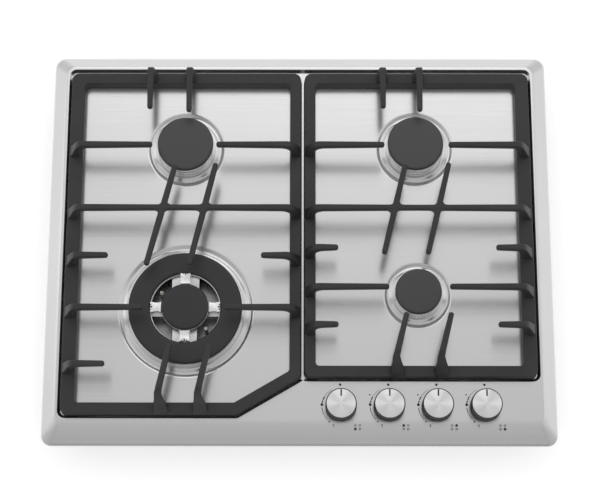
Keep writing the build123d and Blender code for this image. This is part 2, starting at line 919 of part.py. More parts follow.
wok_lug_ring = cup_of(wok_ring_outer) - cup_wall - loose - lug_thickness / 2
with BuildPart() as wok_crown:
    add(ring_wall(wok_wall, wok_inner_wall, flange_z, channel_floor))
    add(ring_wall(wok_wall, wok_wall - channel_wall, channel_floor, ring_under))
    add(ring_wall(wok_inner_wall + channel_wall, wok_inner_wall, channel_floor, ring_under))
    add(ring_wall(inner_wall, crown_throat, flange_z, channel_floor))
    add(ring_wall(inner_wall, inner_wall - crown_wall, channel_floor, inner_under))
    with BuildSketch(Plane.XY.offset(flange_z)):
        with Locations((wok_x, wok_y)):
            with PolarLocations(arm_middle, 4):
                Rectangle(arm_length, arm_width)
    extrude(amount=arm_height)
    with BuildSketch(Plane.XY.offset(flange_z)):
        with Locations((wok_x, wok_y)):
            with PolarLocations((wok_cap_radius + wok_ring_inner) / 2, 4):
                Rectangle(wok_ring_inner - wok_cap_radius - 2 * key_gap, key_width)
            with PolarLocations(wok_ring_inner - key_gap, 4):
                Rectangle(2 * key_notch, key_notch, mode=Mode.SUBTRACT)
    extrude(amount=inner_under + key_rise - flange_z)
    with BuildSketch(Plane.XY.offset(flange_z)):
        with Locations((wok_x, wok_y)):
            with PolarLocations(wok_lug_ring, 4, start_angle=lug_turn):
                Rectangle(lug_thickness, lug_width)
    extrude(amount=-lug_height)
    with BuildSketch(Plane.XY.offset(ring_under)):
        with Locations((wok_x, wok_y)):
            with PolarLocations(wok_wall, wok_ports, start_angle=180 / wok_ports):
                Rectangle(2 * channel_wall + cut_over, port_width)
    extrude(amount=-port_depth, mode=Mode.SUBTRACT)
    with BuildSketch(Plane.XY.offset(inner_under)):
        with Locations((wok_x, wok_y)):
            with PolarLocations(inner_wall, inner_ports, start_angle=180 / inner_ports):
                Rectangle(2 * crown_wall + cut_over, port_width)
    extrude(amount=-port_depth, mode=Mode.SUBTRACT)
save(wok_crown.part, "wok_crown")

save(plain_cap(wok_x, wok_y, wok_cap_radius, inner_under + cap_thickness), "wok_inner_cap")
with BuildPart() as wok_ring_cap:
    with BuildSketch(Plane.XY.offset(ring_under)):
        with Locations((wok_x, wok_y)):
            Circle(wok_ring_outer)
            Circle(wok_ring_inner, mode=Mode.SUBTRACT)
    extrude(amount=cap_thickness)
    with BuildSketch(Plane.XY.offset(ring_under)):
        with Locations((wok_x, wok_y)):
            with PolarLocations(wok_wall - channel_wall - loose - lug_thickness / 2, 4, start_angle=lug_turn):
                Rectangle(lug_thickness, lug_width)
    extrude(amount=-lug_height)
save(wok_ring_cap.part, "wok_ring_cap")


# ------------------------------------------------------------------ probes and jets
def probe_spots(plain_angle, wok_angle):
    """Where a probe stands by each burner."""
    spots = [polar_point(x, y, crown_of(radius) - probe_inset, plain_angle) for x, y, radius in plain_burners]
    return spots + [polar_point(wok_x, wok_y, wok_probe_ring, wok_angle)]


electrode_spots = probe_spots(electrode_angle, wok_electrode_angle)
with BuildPart() as spark_electrodes:
    add(many_sided(electrode_spots, probe_radius, probe_sides, electrode_foot, flange_z + ceramic_rise))
    add(many_sided(electrode_spots, pin_radius, probe_sides, flange_z + ceramic_rise, flange_z + pin_rise))
save(spark_electrodes.part, "spark_electrodes")
thermocouple_spots = probe_spots(thermocouple_angle, wok_thermocouple_angle)
save(
    many_sided(thermocouple_spots, probe_radius, probe_sides, electrode_foot, flange_z + pin_rise),
    "thermocouples",
)
save(many_sided(burner_axes, jet_radius, 6, cup_low + cup_wall, cup_low + cup_wall + jet_height), "injectors")
save(many_sided(burner_axes, holder_radius, 8, cup_low - holder_depth, cup_low), "jet_holders")

# ------------------------------------------------------------------ taps and knobs
# Each tap hangs under the control strip from the gas rail. Its knob pushes the stem
# down against a spring inside the tap, and turns the plug that the stem's flat
# tongue keys into.
skirt_z = crest_z + knob_lift
tap_low = tap_z - tap_height / 2
tap_high = tap_z + tap_height / 2
neck_high = tap_high + neck_rise
plug_low = tap_low + tap_floor
plug_high = plug_low + plug_length
stem_low = plug_high + knob_push + loose
tongue_low = plug_high - tongue_depth - loose
slot_low = tongue_low - knob_push - loose


def bore_of(x, radius, low, high):
    """The room round a turning piece: its flats clear the piece's corners."""
    return many_sided([(x, knob_y)], (radius + running) / cos(pi / tap_sides), tap_sides, low, high)


def tap_body(x):
    """The die-cast body, bored for the plug and the stem."""
    with BuildPart() as body:
        add(block_of(x, knob_y, tap_width, tap_width, tap_low, tap_high))
        add(block_of(x, knob_y, neck_width, neck_width, tap_high, neck_high))
        add(bore_of(x, plug_radius, plug_low, stem_low + loose), mode=Mode.SUBTRACT)
        add(bore_of(x, spindle_radius, plug_high, neck_high + cut_over), mode=Mode.SUBTRACT)
    return body.part


def tap_plug(x):
    """The turning plug, slotted across its top for the stem's tongue."""
    with BuildPart() as plug:
        add(many_sided([(x, knob_y)], plug_radius, tap_sides, plug_low, plug_high))
        slot_width = tongue_width + 2 * running
        add(
            block_of(x, knob_y, 2 * (plug_radius + cut_over), slot_width, slot_low, plug_high + cut_over),
            mode=Mode.SUBTRACT,
        )
    return plug.part


def knob(x):
    """The knob on its stem, which ends in the tongue."""
    with BuildPart() as whole:
        add(disc_of(x, knob_y, knob_radius, skirt_z, skirt_z + knob_height))
        add(many_sided([(x, knob_y)], spindle_radius, tap_sides, stem_low, skirt_z))
        tongue_length = 2 * (spindle_radius - tongue_inset)
        add(block_of(x, knob_y, tongue_length, tongue_width, tongue_low, stem_low + loose))
    return whole.part


tap_names = ["wok", "rear_left", "rear_right", "front_right"]
for name, x in zip(tap_names, knob_xs):
    save(tap_plug(x), f"{name}_tap_plug")
    save(knob(x), f"{name}_knob")
    save(tap_body(x), f"{name}_tap_body")

with BuildPart() as spark_switches:
    with BuildSketch(Plane.XY.offset(tap_high)):
        with Locations([(x, knob_y) for x in knob_xs]):
            Rectangle(switch_length, switch_depth)
            Rectangle(neck_width, neck_width, mode=Mode.SUBTRACT)
    extrude(amount=switch_height)
save(spark_switches.part, "spark_switches")

# ------------------------------------------------------------------ gas pipes
# The rail runs along the taps' fronts to an elbow, and the supply pipe runs back from
# there to the inlet in the box's rear wall.
inlet_x = half_width - inlet_side
box_back = half_depth - box_rear_inset
box_front = box_front_inset - half_depth
collar_back = box_back + collar_proud
collar_front = collar_back - collar_length
rail_line = knob_y - tap_width / 2 - rail_pipe_radius
with BuildPart() as gas_rail:
    rail_start = knob_xs[0] - rail_lead
    with BuildSketch(Plane(origin=(rail_start, rail_line, pipe_z), x_dir=(0, 1, 0), z_dir=(1, 0, 0))):
        Circle(rail_pipe_radius)
    extrude(amount=inlet_x - elbow_width / 2 - rail_start)
save(gas_rail.part, "gas_rail")

with BuildPart() as supply_pipe:
    add(block_of(
        inlet_x, rail_line, elbow_width, elbow_width, pipe_z - elbow_width / 2, pipe_z + elbow_width / 2
    ))
    elbow_back = rail_line + elbow_width / 2
    with BuildSketch(Plane(origin=(inlet_x, elbow_back, pipe_z), x_dir=(1, 0, 0), z_dir=(0, 1, 0))):
        Circle(supply_radius)
    extrude(amount=collar_front - elbow_back)
save(supply_pipe.part, "supply_pipe")

# The inlet: a hexagonal collar through the box's back wall and a male G1/2 stub.
with BuildPart() as gas_inlet:
    with BuildSketch(Plane(origin=(inlet_x, collar_front, pipe_z), x_dir=(1, 0, 0), z_dir=(0, 1, 0))):
        RegularPolygon(collar_radius, 6)
    extrude(amount=collar_length)
    with BuildSketch(Plane(origin=(inlet_x, collar_back, pipe_z), x_dir=(1, 0, 0), z_dir=(0, 1, 0))):
        Circle(inlet_radius)
    extrude(amount=inlet_length)
save(gas_inlet.part, "gas_inlet")


def feed_pipe(*corners):
    """An aluminium pipe from a tap to the jet holder under a burner."""
    points = [Vector(x, y, outlet_z) for x, y in corners]
    with BuildPart() as pipe:
        with BuildLine():
            Polyline(*points)
        with BuildSketch(Plane(origin=points[0], x_dir=(1, 0, 0), z_dir=(0, 1, 0))):
            RegularPolygon(feed_radius, feed_sides)
        sweep(transition=Transition.RIGHT)
    return pipe.part


def stop_short(start, stop, gap):
    """The point on the way to stop that lies gap before it."""
    run = hypot(stop[0] - start[0], stop[1] - start[1])
    share = (run - gap) / run
    return (start[0] + (stop[0] - start[0]) * share, start[1] + (stop[1] - start[1]) * share)


outlet_y = knob_y + tap_width / 2
turn_y = outlet_y + feed_run
detour = (front_right_x - feed_detour, front_right_y - feed_detour)
feed_routes = [[(x, turn_y), axis] for x, axis in zip(knob_xs, burner_axes)]
feed_routes[2].insert(1, detour)
with BuildPart() as feed_pipes:
    for x, route in zip(knob_xs, feed_routes):
        last = stop_short(route[-2], route[-1], holder_radius)
        add(feed_pipe((x, outlet_y), *route[:-1], last))
save(feed_pipes.part, "feed_pipes")

# ------------------------------------------------------------------ base box
box_middle = (box_back + box_front) / 2
box_width = panel_width - 2 * box_side_inset
box_depth = box_back - box_front
vent_x = box_width / 2 * vent_share
gland_x = gland_side - half_width
with BuildPart() as base_box:
    with BuildSketch():
        with Locations((0, box_middle)):
            RectangleRounded(box_width, box_depth, box_corner)
    extrude(amount=floor_under)
    with BuildSketch(Plane.XY.offset(box_wall)):
        with Locations((0, box_middle)):
            RectangleRounded(box_width - 2 * box_wall, box_depth - 2 * box_wall, box_corner - box_wall)
    extrude(amount=floor_under, mode=Mode.SUBTRACT)
    with BuildSketch():
        with Locations((vent_x, box_middle), (-vent_x, box_middle)):
            with GridLocations(0, vent_pitch, 1, vent_count):
                Rectangle(vent_length, vent_width)
    extrude(amount=box_wall, mode=Mode.SUBTRACT)
    with BuildSketch(Plane(origin=(0, box_back + cut_over, 0), x_dir=(1, 0, 0), z_dir=(0, 1, 0))):
        with Locations((inlet_x, -pipe_z)):
            RegularPolygon(collar_radius + loose, 6)
        with Locations((gland_x, -gland_z)):
            Rectangle(gland_neck + 2 * running, gland_neck + 2 * running)
    extrude(amount=-(box_wall + 2 * cut_over), mode=Mode.SUBTRACT)
save(base_box.part, "base_box")

# The rubber gland for the mains lead, with a lip on each side of the wall.
with BuildPart() as mains_gland:
    with BuildSketch(Plane(origin=(gland_x, box_back, gland_z), x_dir=(1, 0, 0), z_dir=(0, 1, 0))):
        Rectangle(gland_width, gland_width)
    extrude(amount=gland_lip)
    with BuildSketch(Plane(origin=(gland_x, box_back - box_wall, gland_z), x_dir=(1, 0, 0), z_dir=(0, 1, 0))):
        Rectangle(gland_neck, gland_neck)
    extrude(amount=box_wall)
    with BuildSketch(Plane(origin=(gland_x, box_back - box_wall, gland_z), x_dir=(1, 0, 0), z_dir=(0, 1, 0))):
        Rectangle(gland_width, gland_width)
    extrude(amount=-gland_lip)
    gland_end = (gland_x, box_back + gland_lip, gland_z)
    with BuildSketch(Plane(origin=gland_end, x_dir=(1, 0, 0), z_dir=(0, 1, 0))):
        Circle(gland_bore)
    extrude(amount=-(box_wall + 2 * gland_lip), mode=Mode.SUBTRACT)
save(mains_gland.part, "mains_gland")

module_x = module_side - half_width
module_y = half_depth - module_back
save(
    block_of(module_x, module_y, module_length, module_depth, box_wall, box_wall + module_height),
    "ignition_module",
)

# Clamps on the front and back walls that pull the cooktop down on the worktop.
clamp_x = half_width * clamp_share
clamp_sides = [(box_back, 1.0, clamp_reach), (box_front, -1.0, clamp_front_reach)]
with BuildPart() as worktop_clamps:
    for wall, out, reach in clamp_sides:
        for x in (-clamp_x, clamp_x):
            add(block_of(x, wall + out * clamp_sheet / 2, clamp_width, clamp_sheet, clamp_low, clamp_high))
            add(block_of(x, wall + out * reach / 2, clamp_width, reach, clamp_high - clamp_sheet, clamp_high))
save(worktop_clamps.part, "worktop_clamps")

with BuildPart() as clamp_screws:
    for wall, out, reach in clamp_sides:
        for x in (-clamp_x, clamp_x):
            start = (x, wall + out * clamp_sheet, (clamp_low + clamp_high - clamp_sheet) / 2)
            with BuildSketch(Plane(origin=start, x_dir=(1, 0, 0), z_dir=(0, out, 0))):
                RegularPolygon(screw_head, 6)
            extrude(amount=screw_height)
save(clamp_screws.part, "clamp_screws")
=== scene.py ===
# %% [markdown]
# # A gas cooktop, finished around its solid model
#
# The solid model gives every main form at its real size. This lesson dresses it: the
# pressed steel panel, the cast pan supports, the burners and the knobs get the soft
# edges, the brushed metal and the printed marks that the solids leave out. The object's
# lengths are written in millimetres and turned into Blender's metres in one place.

# %% Load the solid model
import bpy
import bmesh
from math import atan2, cos, hypot, pi, radians, sin, sqrt, tan
from mathutils import Matrix, Vector
from mathutils.geometry import delaunay_2d_cdt


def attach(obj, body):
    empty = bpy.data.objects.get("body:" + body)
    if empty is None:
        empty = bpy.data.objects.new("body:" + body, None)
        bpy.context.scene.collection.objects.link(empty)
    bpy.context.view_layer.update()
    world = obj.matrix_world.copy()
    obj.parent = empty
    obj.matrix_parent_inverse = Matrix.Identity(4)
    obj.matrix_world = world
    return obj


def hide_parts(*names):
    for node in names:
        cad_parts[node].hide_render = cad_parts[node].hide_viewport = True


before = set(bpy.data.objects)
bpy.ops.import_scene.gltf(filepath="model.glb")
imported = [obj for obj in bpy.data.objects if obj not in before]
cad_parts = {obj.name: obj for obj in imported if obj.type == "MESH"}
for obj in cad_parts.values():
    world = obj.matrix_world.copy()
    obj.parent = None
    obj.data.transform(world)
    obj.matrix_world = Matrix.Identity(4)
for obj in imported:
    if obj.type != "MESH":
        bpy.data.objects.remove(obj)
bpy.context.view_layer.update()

# %% Lengths in millimetres
MM = 0.001


def metres(x, y, z):
    return Vector((x * MM, y * MM, z * MM))


# %% [markdown]
# ## The camera
#
# The photograph looks down steeply from the front, from about two metres. The place,
# the angles and the focal length below came from matching the panel's four corners and
# the burner centres. A long lens keeps the panel's sides almost parallel.

# %% Place the camera
CAMERA_PLACE = (4.2, -574.7, 2095.4)
CAMERA_DOWN = 74.192  # degrees below the horizon
CAMERA_YAW = 0.375
CAMERA_ROLL = -0.295
camera_data = bpy.data.cameras.new("camera")
camera_data.lens = 106.72
camera_data.sensor_width = 36.0
camera_data.clip_end = 20.0
camera = bpy.data.objects.new("camera", camera_data)
bpy.context.scene.collection.objects.link(camera)
turn = Matrix.Rotation(radians(CAMERA_YAW), 4, "Z")
tilt = Matrix.Rotation(radians(90.0 - CAMERA_DOWN), 4, "X")
roll = Matrix.Rotation(radians(CAMERA_ROLL), 4, "Z")
camera.matrix_world = Matrix.Translation(metres(*CAMERA_PLACE)) @ turn @ tilt @ roll
bpy.context.scene.camera = camera
bpy.context.scene.view_settings.view_transform = "Standard"
print("camera stands", round(CAMERA_PLACE[2]), "mm up")

# %% [markdown]
# ## Floor and light
#
# A studio shot of a steel panel is a picture of what the steel reflects. A large soft
# lamp behind and above the object makes the rear of the well bright, and the room's
# even grey leaves the front darker. The floor and the world show white to the camera
# and to reflections only, so the background is white without more light on the steel.

# %% Materials and their nodes
def shader_of(material):
    return material.node_tree.nodes["Principled BSDF"]


def plain_material(name, surface=None):
    """A new material; surface holds values for its shader's inputs."""
    material = bpy.data.materials.new(name)
    material.use_nodes = True
    for entry, value in (surface or {}).items():
        shader_of(material).inputs[entry].default_value = value
    return material


def node(material, kind, **settings):
    made = material.node_tree.nodes.new(kind)
    for key, value in settings.items():
        if key in made.inputs:
            made.inputs[key].default_value = value
        else:
            setattr(made, key, value)
    return made


def wire(material, output, entry):
    material.node_tree.links.new(output, entry)


def math_node(material, operation, first, second):
    """Adds, multiplies or compares a socket and a number or another socket."""
    made = node(material, "ShaderNodeMath", operation=operation)
    for place, value in enumerate((first, second)):
        if isinstance(value, (int, float)):
            made.inputs[place].default_value = value
        else:
            wire(material, value, made.inputs[place])
    return made.outputs[0]


def chained(material, operation, *values):
    """One operation through several sockets or numbers, from left to right."""
    result = values[0]
    for value in values[1:]:
        result = math_node(material, operation, result, value)
    return result


def remap(material, value, low, high, low_to, high_to, curve="SMOOTHSTEP"):
    """Maps a range onto another; outside the range the result stays at its ends."""
    made = node(material, "ShaderNodeMapRange", interpolation_type=curve)
    for entry, number in (("From Min", low), ("From Max", high), ("To Min", low_to), ("To Max", high_to)):
        made.inputs[entry].default_value = number
    wire(material, value, made.inputs["Value"])
    return made.outputs["Result"]


def mirror_rays_of(material):
    """1 for mirror and glass rays, and 0 for all others."""
    path = node(material, "ShaderNodeLightPath")
    return math_node(material, "MAXIMUM", path.outputs["Is Glossy Ray"], path.outputs["Is Transmission Ray"])


def camera_rays_of(material):
    return node(material, "ShaderNodeLightPath").outputs["Is Camera Ray"]


# %% The floor
FLOOR_HALF = 4.0
FLOOR_GLOW = 0.52  # what the lit floor lacks of white
floor_mesh = bpy.data.meshes.new("floor")
floor_corners = [(x * FLOOR_HALF, y * FLOOR_HALF, 0) for x, y in ((-1, -1), (1, -1), (1, 1), (-1, 1))]
floor_mesh.from_pydata(floor_corners, [], [(0, 1, 2, 3)])
floor = bpy.data.objects.new("floor", floor_mesh)
bpy.context.scene.collection.objects.link(floor)
FLOOR_SURFACE = {
    "Base Color": (0.9, 0.9, 0.9, 1.0),
    "Roughness": 0.9,
    "Specular IOR Level": 0.1,
    "Emission Color": (1.0, 1.0, 1.0, 1.0),
}
floor_paint = plain_material("pale_floor", FLOOR_SURFACE)
seen_directly = math_node(floor_paint, "MAXIMUM", camera_rays_of(floor_paint), mirror_rays_of(floor_paint))
glow = math_node(floor_paint, "MULTIPLY", seen_directly, FLOOR_GLOW)
wire(floor_paint, glow, shader_of(floor_paint).inputs["Emission Strength"])
floor_mesh.materials.append(floor_paint)

# %% The room's light
# The room lights the object evenly. What a mirror ray sees of it grows brighter towards
# the back, and white near the horizon, as in a room with one large lit wall.
ROOM_LIGHT = 0.62
FORWARD, REARWARD, SIDEWARD = 0.56, 1.0, 0.98  # what mirror rays see to the front, back and sides
# each fade runs between two parts of a heading, from one share of light to another
REAR_CLIMB = (0.0, 0.5, 0.0, 1.0)
REAR_END, FRONT_END = (0.45, 0.8, 1.0, 0.86), (-0.8, -0.3, 0.7, 1.0)
CORNER_MIDDLE, CORNER_ACROSS, CORNER_ALONG = 0.2, (0.16, 0.34, 0.0, 1.0), (0.12, 0.34, 0.0, 0.34)
WALL_MIDDLE, WALL_ALONG, WALL_ACROSS = 0.25, (0.08, 0.32, 1.0, 0.55), (0.16, 0.36, 0.4, SIDEWARD)
HORIZON_RISE, HORIZON_FRONT = (0.30, 0.75, 1.0, 0.0), (-0.75, -0.35, 0.4, 1.0)
world = bpy.data.worlds.new("studio")
bpy.context.scene.world = world
world.use_nodes = True
background = world.node_tree.nodes["Background"]
background.inputs["Color"].default_value = (1.0, 1.0, 1.0, 1.0)
heading = node(world, "ShaderNodeSeparateXYZ")
wire(world, node(world, "ShaderNodeTexCoord").outputs["Generated"], heading.inputs[0])
ahead = heading.outputs["Y"]


def away_from(value, middle):
    return math_node(world, "ABSOLUTE", math_node(world, "SUBTRACT", value, middle), 0.0)


across = away_from(heading.outputs["X"], 0.0)
climb = remap(world, ahead, *REAR_CLIMB, curve="LINEAR")
rear_light = math_node(world, "ADD", chained(world, "MULTIPLY", climb, climb, REARWARD - FORWARD), FORWARD)
corner_along = remap(world, away_from(ahead, CORNER_MIDDLE), *CORNER_ALONG)
corners = math_node(world, "MULTIPLY", remap(world, across, *CORNER_ACROSS), corner_along)
lit_corners = math_node(world, "SUBTRACT", 1.0, corners)
rear_ends = (remap(world, ahead, *REAR_END), remap(world, ahead, *FRONT_END))
rear_share = chained(world, "MULTIPLY", rear_light, *rear_ends, lit_corners)
wall_along = remap(world, away_from(ahead, WALL_MIDDLE), *WALL_ALONG)
wall_share = math_node(world, "MULTIPLY", remap(world, across, *WALL_ACROSS), wall_along)
horizon = remap(world, heading.outputs["Z"], *HORIZON_RISE)
horizon_share = math_node(world, "MULTIPLY", horizon, remap(world, ahead, *HORIZON_FRONT))
mirror_light = chained(world, "MAXIMUM", rear_share, wall_share, horizon_share)
mirror_rays, camera_rays = mirror_rays_of(world), camera_rays_of(world)
plain_rays = math_node(world, "SUBTRACT", 1.0, math_node(world, "MAXIMUM", mirror_rays, camera_rays))
mirror_part = math_node(world, "MULTIPLY", mirror_rays, mirror_light)
plain_part = math_node(world, "MULTIPLY", plain_rays, ROOM_LIGHT)
wire(world, chained(world, "ADD", mirror_part, plain_part, camera_rays), background.inputs["Strength"])


def soft_lamp(name, place, aim, size, power):
    """A square soft box at a place in metres, turned to face a point."""
    data = bpy.data.lights.new(name, "AREA")
    data.shape = "RECTANGLE"
    data.size, data.size_y = size
    data.energy = power
    lamp = bpy.data.objects.new(name, data)
    bpy.context.scene.collection.objects.link(lamp)
    turned = (Vector(aim) - Vector(place)).to_track_quat("-Z", "Y").to_matrix().to_4x4()
    lamp.matrix_world = Matrix.Translation(Vector(place)) @ turned


soft_lamp("rear_softbox", (0.05, 1.5, 2.3), (0.0, 0.1, 0.05), (1.5, 1.0), 3.0)
soft_lamp("left_softbox", (-1.8, 0.6, 1.8), (0.0, 0.0, 0.05), (0.8, 0.8), 0.5)

# %% [markdown]
# ## Finishes
#
# Every finish is built from nodes that read the piece's own coordinates. The panel is
# brushed along its width: a noise drawn out along X gives both the fine scratches in
# the relief and a faint streaking in the gloss. The cast supports and the lids are
# black enamel over a grainy casting, so they get a fine bump and a soft sheen.

# %% Brushed steel
def object_place(material):
    return node(material, "ShaderNodeTexCoord").outputs["Object"]


def stretched(material, scale):
    mapping = node(material, "ShaderNodeMapping")
    mapping.inputs["Scale"].default_value = scale
    wire(material, object_place(material), mapping.inputs["Vector"])
    return mapping.outputs["Vector"]


RAMP_ENDS = (0.35, 0.65)  # the part of a noise that a ramp spreads out


def vary(material, value, entry, middle, low, high):
    """Drives a shader's input with a noise, between two shares of a colour or grey."""
    ramp = node(material, "ShaderNodeValToRGB")
    for stop, place, share in zip(ramp.color_ramp.elements, RAMP_ENDS, (low, high)):
        stop.position = place
        stop.color = (*(min(1.0, part * share) for part in middle), 1.0)
    wire(material, value, ramp.inputs["Fac"])
    wire(material, ramp.outputs["Color"], shader_of(material).inputs[entry])


def bumped(material, height, strength, distance):
    bump = node(material, "ShaderNodeBump", Strength=strength, Distance=distance)
    wire(material, height, bump.inputs["Height"])
    wire(material, bump.outputs["Normal"], shader_of(material).inputs["Normal"])


def noise(material, vector, scale, detail):
    made = node(material, "ShaderNodeTexNoise", Scale=scale, Detail=detail, Roughness=0.6)
    wire(material, vector, made.inputs["Vector"])
    return made.outputs["Fac"]


LINES_SHARE, CLOUDS_SHARE = 0.7, 0.3


def brushed_metal(name, colour, rough, stretch, streak, bump, anisotropic):
    """Metal with scratches drawn out along one axis. A scratch spreads light across
    itself, so the finish is told that its blur runs along Y."""
    material = plain_material(name, {"Metallic": 1.0, "Anisotropic": anisotropic})
    blur_axis = node(material, "ShaderNodeCombineXYZ", Y=1.0)
    wire(material, blur_axis.outputs[0], shader_of(material).inputs["Tangent"])
    lines = noise(material, stretched(material, stretch), 1.0, 3.0)
    clouds = noise(material, object_place(material), 9.0, 2.0)
    both = node(material, "ShaderNodeMath", operation="MULTIPLY_ADD")
    both.inputs[1].default_value = LINES_SHARE
    wire(material, lines, both.inputs[0])
    wire(material, math_node(material, "MULTIPLY", clouds, CLOUDS_SHARE), both.inputs[2])
    vary(material, both.outputs[0], "Base Color", colour, 1.0 - streak, 1.0 + streak)
    vary(material, both.outputs[0], "Roughness", (rough,) * 3, 1.12, 0.9)
    bumped(material, lines, bump, 0.00008)
    return material


panel_steel = brushed_metal(
    "brushed_panel_steel", (0.74, 0.74, 0.745), 0.24, (10.0, 1500.0, 1500.0), streak=0.02, bump=0.004, anisotropic=0.65
)
print("finish:", panel_steel.name)

# %% Enamel, cast metal and mouldings
# detail of the grain, spread of the colour and of the roughness, depth of the relief,
# metal or not, and the scale of the patches in the colour where they aren't the grain
ENAMEL = (6.0, (0.86, 1.16), (0.88, 1.12), 0.00025, 0.0, 14.0)
CAST = (5.0, (0.9, 1.08), (0.85, 1.15), 0.00015, 1.0, None)
MOULDED = (4.0, (0.9, 1.1), (0.9, 1.1), 0.0002, 0.0, None)


def grained(name, family, colour, rough, grain, bump, shine=0.5):
    """A finish with a fine grain and an uneven sheen."""
    detail, colours, roughs, relief, metallic, patches = family
    material = plain_material(name, {"Metallic": metallic, "Specular IOR Level": shine})
    fine = noise(material, object_place(material), grain, detail)
    tint = noise(material, object_place(material), patches, 2.0) if patches else fine
    vary(material, tint, "Base Color", colour, *colours)
    vary(material, fine, "Roughness", (rough,) * 3, *roughs)
    bumped(material, fine, bump, relief)
    return material


cast_enamel = grained("cast_enamel", ENAMEL, (0.030, 0.030, 0.031), 0.52, 900.0, 0.35)
# a lid is glossier than its support, so it takes on more of the room behind it
lid_enamel = grained("lid_enamel", ENAMEL, (0.009, 0.009, 0.0095), 0.42, 1600.0, 0.12, shine=1.0)
wok_lid_enamel = grained("wok_lid_enamel", ENAMEL, (0.008, 0.008, 0.0085), 0.45, 1600.0, 0.12, shine=0.68)
burner_metal = grained("burner_alloy", CAST, (0.74, 0.74, 0.74), 0.3, 700.0, 0.12)
tap_metal = grained("tap_alloy", CAST, (0.5, 0.5, 0.51), 0.42, 500.0, 0.2)
zinc_sheet = grained("zinc_sheet", CAST, (0.5, 0.51, 0.52), 0.38, 60.0, 0.03)
plated_pipe = grained("plated_pipe", CAST, (0.55, 0.55, 0.53), 0.3, 300.0, 0.05)
drawn_tube = grained("drawn_tube", CAST, (0.66, 0.66, 0.67), 0.28, 300.0, 0.04)
turned_brass = grained("turned_brass", CAST, (0.62, 0.44, 0.17), 0.28, 400.0, 0.04)
probe_metal = grained("probe_metal", CAST, (0.42, 0.40, 0.38), 0.35, 800.0, 0.05)
black_rubber = grained("black_rubber", MOULDED, (0.018, 0.018, 0.018), 0.72, 900.0, 0.2)
seal_foam = grained("seal_foam", MOULDED, (0.028, 0.028, 0.028), 0.9, 1400.0, 0.6)
black_plastic = grained("black_plastic", MOULDED, (0.022, 0.022, 0.024), 0.46, 1200.0, 0.1)
knob_plastic = grained("knob_plastic", MOULDED, (0.012, 0.012, 0.013), 0.36, 1200.0, 0.05)
white_ceramic = grained("white_ceramic", MOULDED, (0.78, 0.75, 0.69), 0.45, 700.0, 0.05)
print("materials so far:", len(bpy.data.materials))

# %% Dress the solids that stay
BURNER_NAMES = ("wok", "rear_left", "rear_right", "front_right")
STAYS = [
    (seal_foam, "panel_seal"), (zinc_sheet, "base_box worktop_clamps"),
    (black_rubber, "left_support_pads right_support_pads mains_gland"),
    (turned_brass, "injectors"), (tap_metal, "jet_holders"), (white_ceramic, "spark_electrodes"),
    (probe_metal, "thermocouples clamp_screws"), (black_plastic, "spark_switches ignition_module"),
    (plated_pipe, "gas_rail supply_pipe gas_inlet"), (drawn_tube, "feed_pipes"),
]
for name in BURNER_NAMES:
    STAYS += [(turned_brass, f"{name}_tap_plug"), (tap_metal, f"{name}_tap_body")]


def dress(name, material):
    """Gives a solid its finish in every one of its material slots."""
    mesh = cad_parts[name].data
    if not mesh.materials:
        mesh.materials.append(material)
    for place in range(len(mesh.materials)):
        mesh.materials[place] = material


for material, names in STAYS:
    for name in names.split():
        dress(name, material)
print("solids dressed:", sum(len(names.split()) for material, names in STAYS))

# %% [markdown]
# ## Tools for building skins
#
# Most pieces here are skins: a row of closed loops, joined by quads. A loop round a
# plan with rounded corners always has the same number of points for the same number of
# corners, so loops of different sizes join cleanly. A turned piece is the same idea
# with a circle for a loop.

# %% Loops with rounded corners
ARC_STEPS = 10


def unit(a, b):
    length = hypot(b[0] - a[0], b[1] - a[1])
    return ((b[0] - a[0]) / length, (b[1] - a[1]) / length)


def with_sides(corners):
    """Each corner with the directions of the sides that come in and go out."""
    for before, here, after in zip(corners[-1:] + corners[:-1], corners, corners[1:] + corners[:1]):
        yield here, unit(before, here), unit(here, after)


def inset_corners(corners, inset):
    """A polygon with every side moved inwards. The corners run anticlockwise."""
    moved = []
    for here, d0, d1 in with_sides(corners):
        cross = d0[0] * d1[1] - d0[1] * d1[0]
        p0 = (here[0] - d0[1] * inset, here[1] + d0[0] * inset)
        p1 = (here[0] - d1[1] * inset, here[1] + d1[0] * inset)
        along = ((p1[0] - p0[0]) * d1[1] - (p1[1] - p0[1]) * d1[0]) / cross
        moved.append((p0[0] + d0[0] * along, p0[1] + d0[1] * along))
    return moved


def rounded(corners, radius, inset=0.0):
    """Points round a polygon whose corners are arcs; the radius shrinks with the inset."""
    points = []
    for here, d0, d1 in with_sides(inset_corners(corners, inset)):
        bend = atan2(d0[0] * d1[1] - d0[1] * d1[0], d0[0] * d1[0] + d0[1] * d1[1])
        arc = max(0.05, radius - inset if bend > 0 else radius + inset)
        reach = arc * tan(abs(bend) / 2)
        start = (here[0] - d0[0] * reach, here[1] - d0[1] * reach)
        side = 1.0 if bend > 0 else -1.0
        middle = (start[0] - d0[1] * arc * side, start[1] + d0[0] * arc * side)
        dx, dy = start[0] - middle[0], start[1] - middle[1]
        for step in range(ARC_STEPS + 1):
            angle = bend * step / ARC_STEPS
            c, s = cos(angle), sin(angle)
            points.append((middle[0] + dx * c - dy * s, middle[1] + dx * s + dy * c))
    return points


def at_height(points, z):
    return [metres(x, y, z) for x, y in points]


def loops_round(corners, radius, profile):
    """A loop round a plan for each (inset, height) of a profile."""
    return [at_height(rounded(corners, radius, inset), z) for inset, z in profile]


def near(radius, height, *steps):
    """Profile points given by how far they stand from one radius and one height."""
    return [(radius + out, height + up) for out, up in steps]


def box_corners(left, front, right, back):
    return [(left, front), (right, front), (right, back), (left, back)]


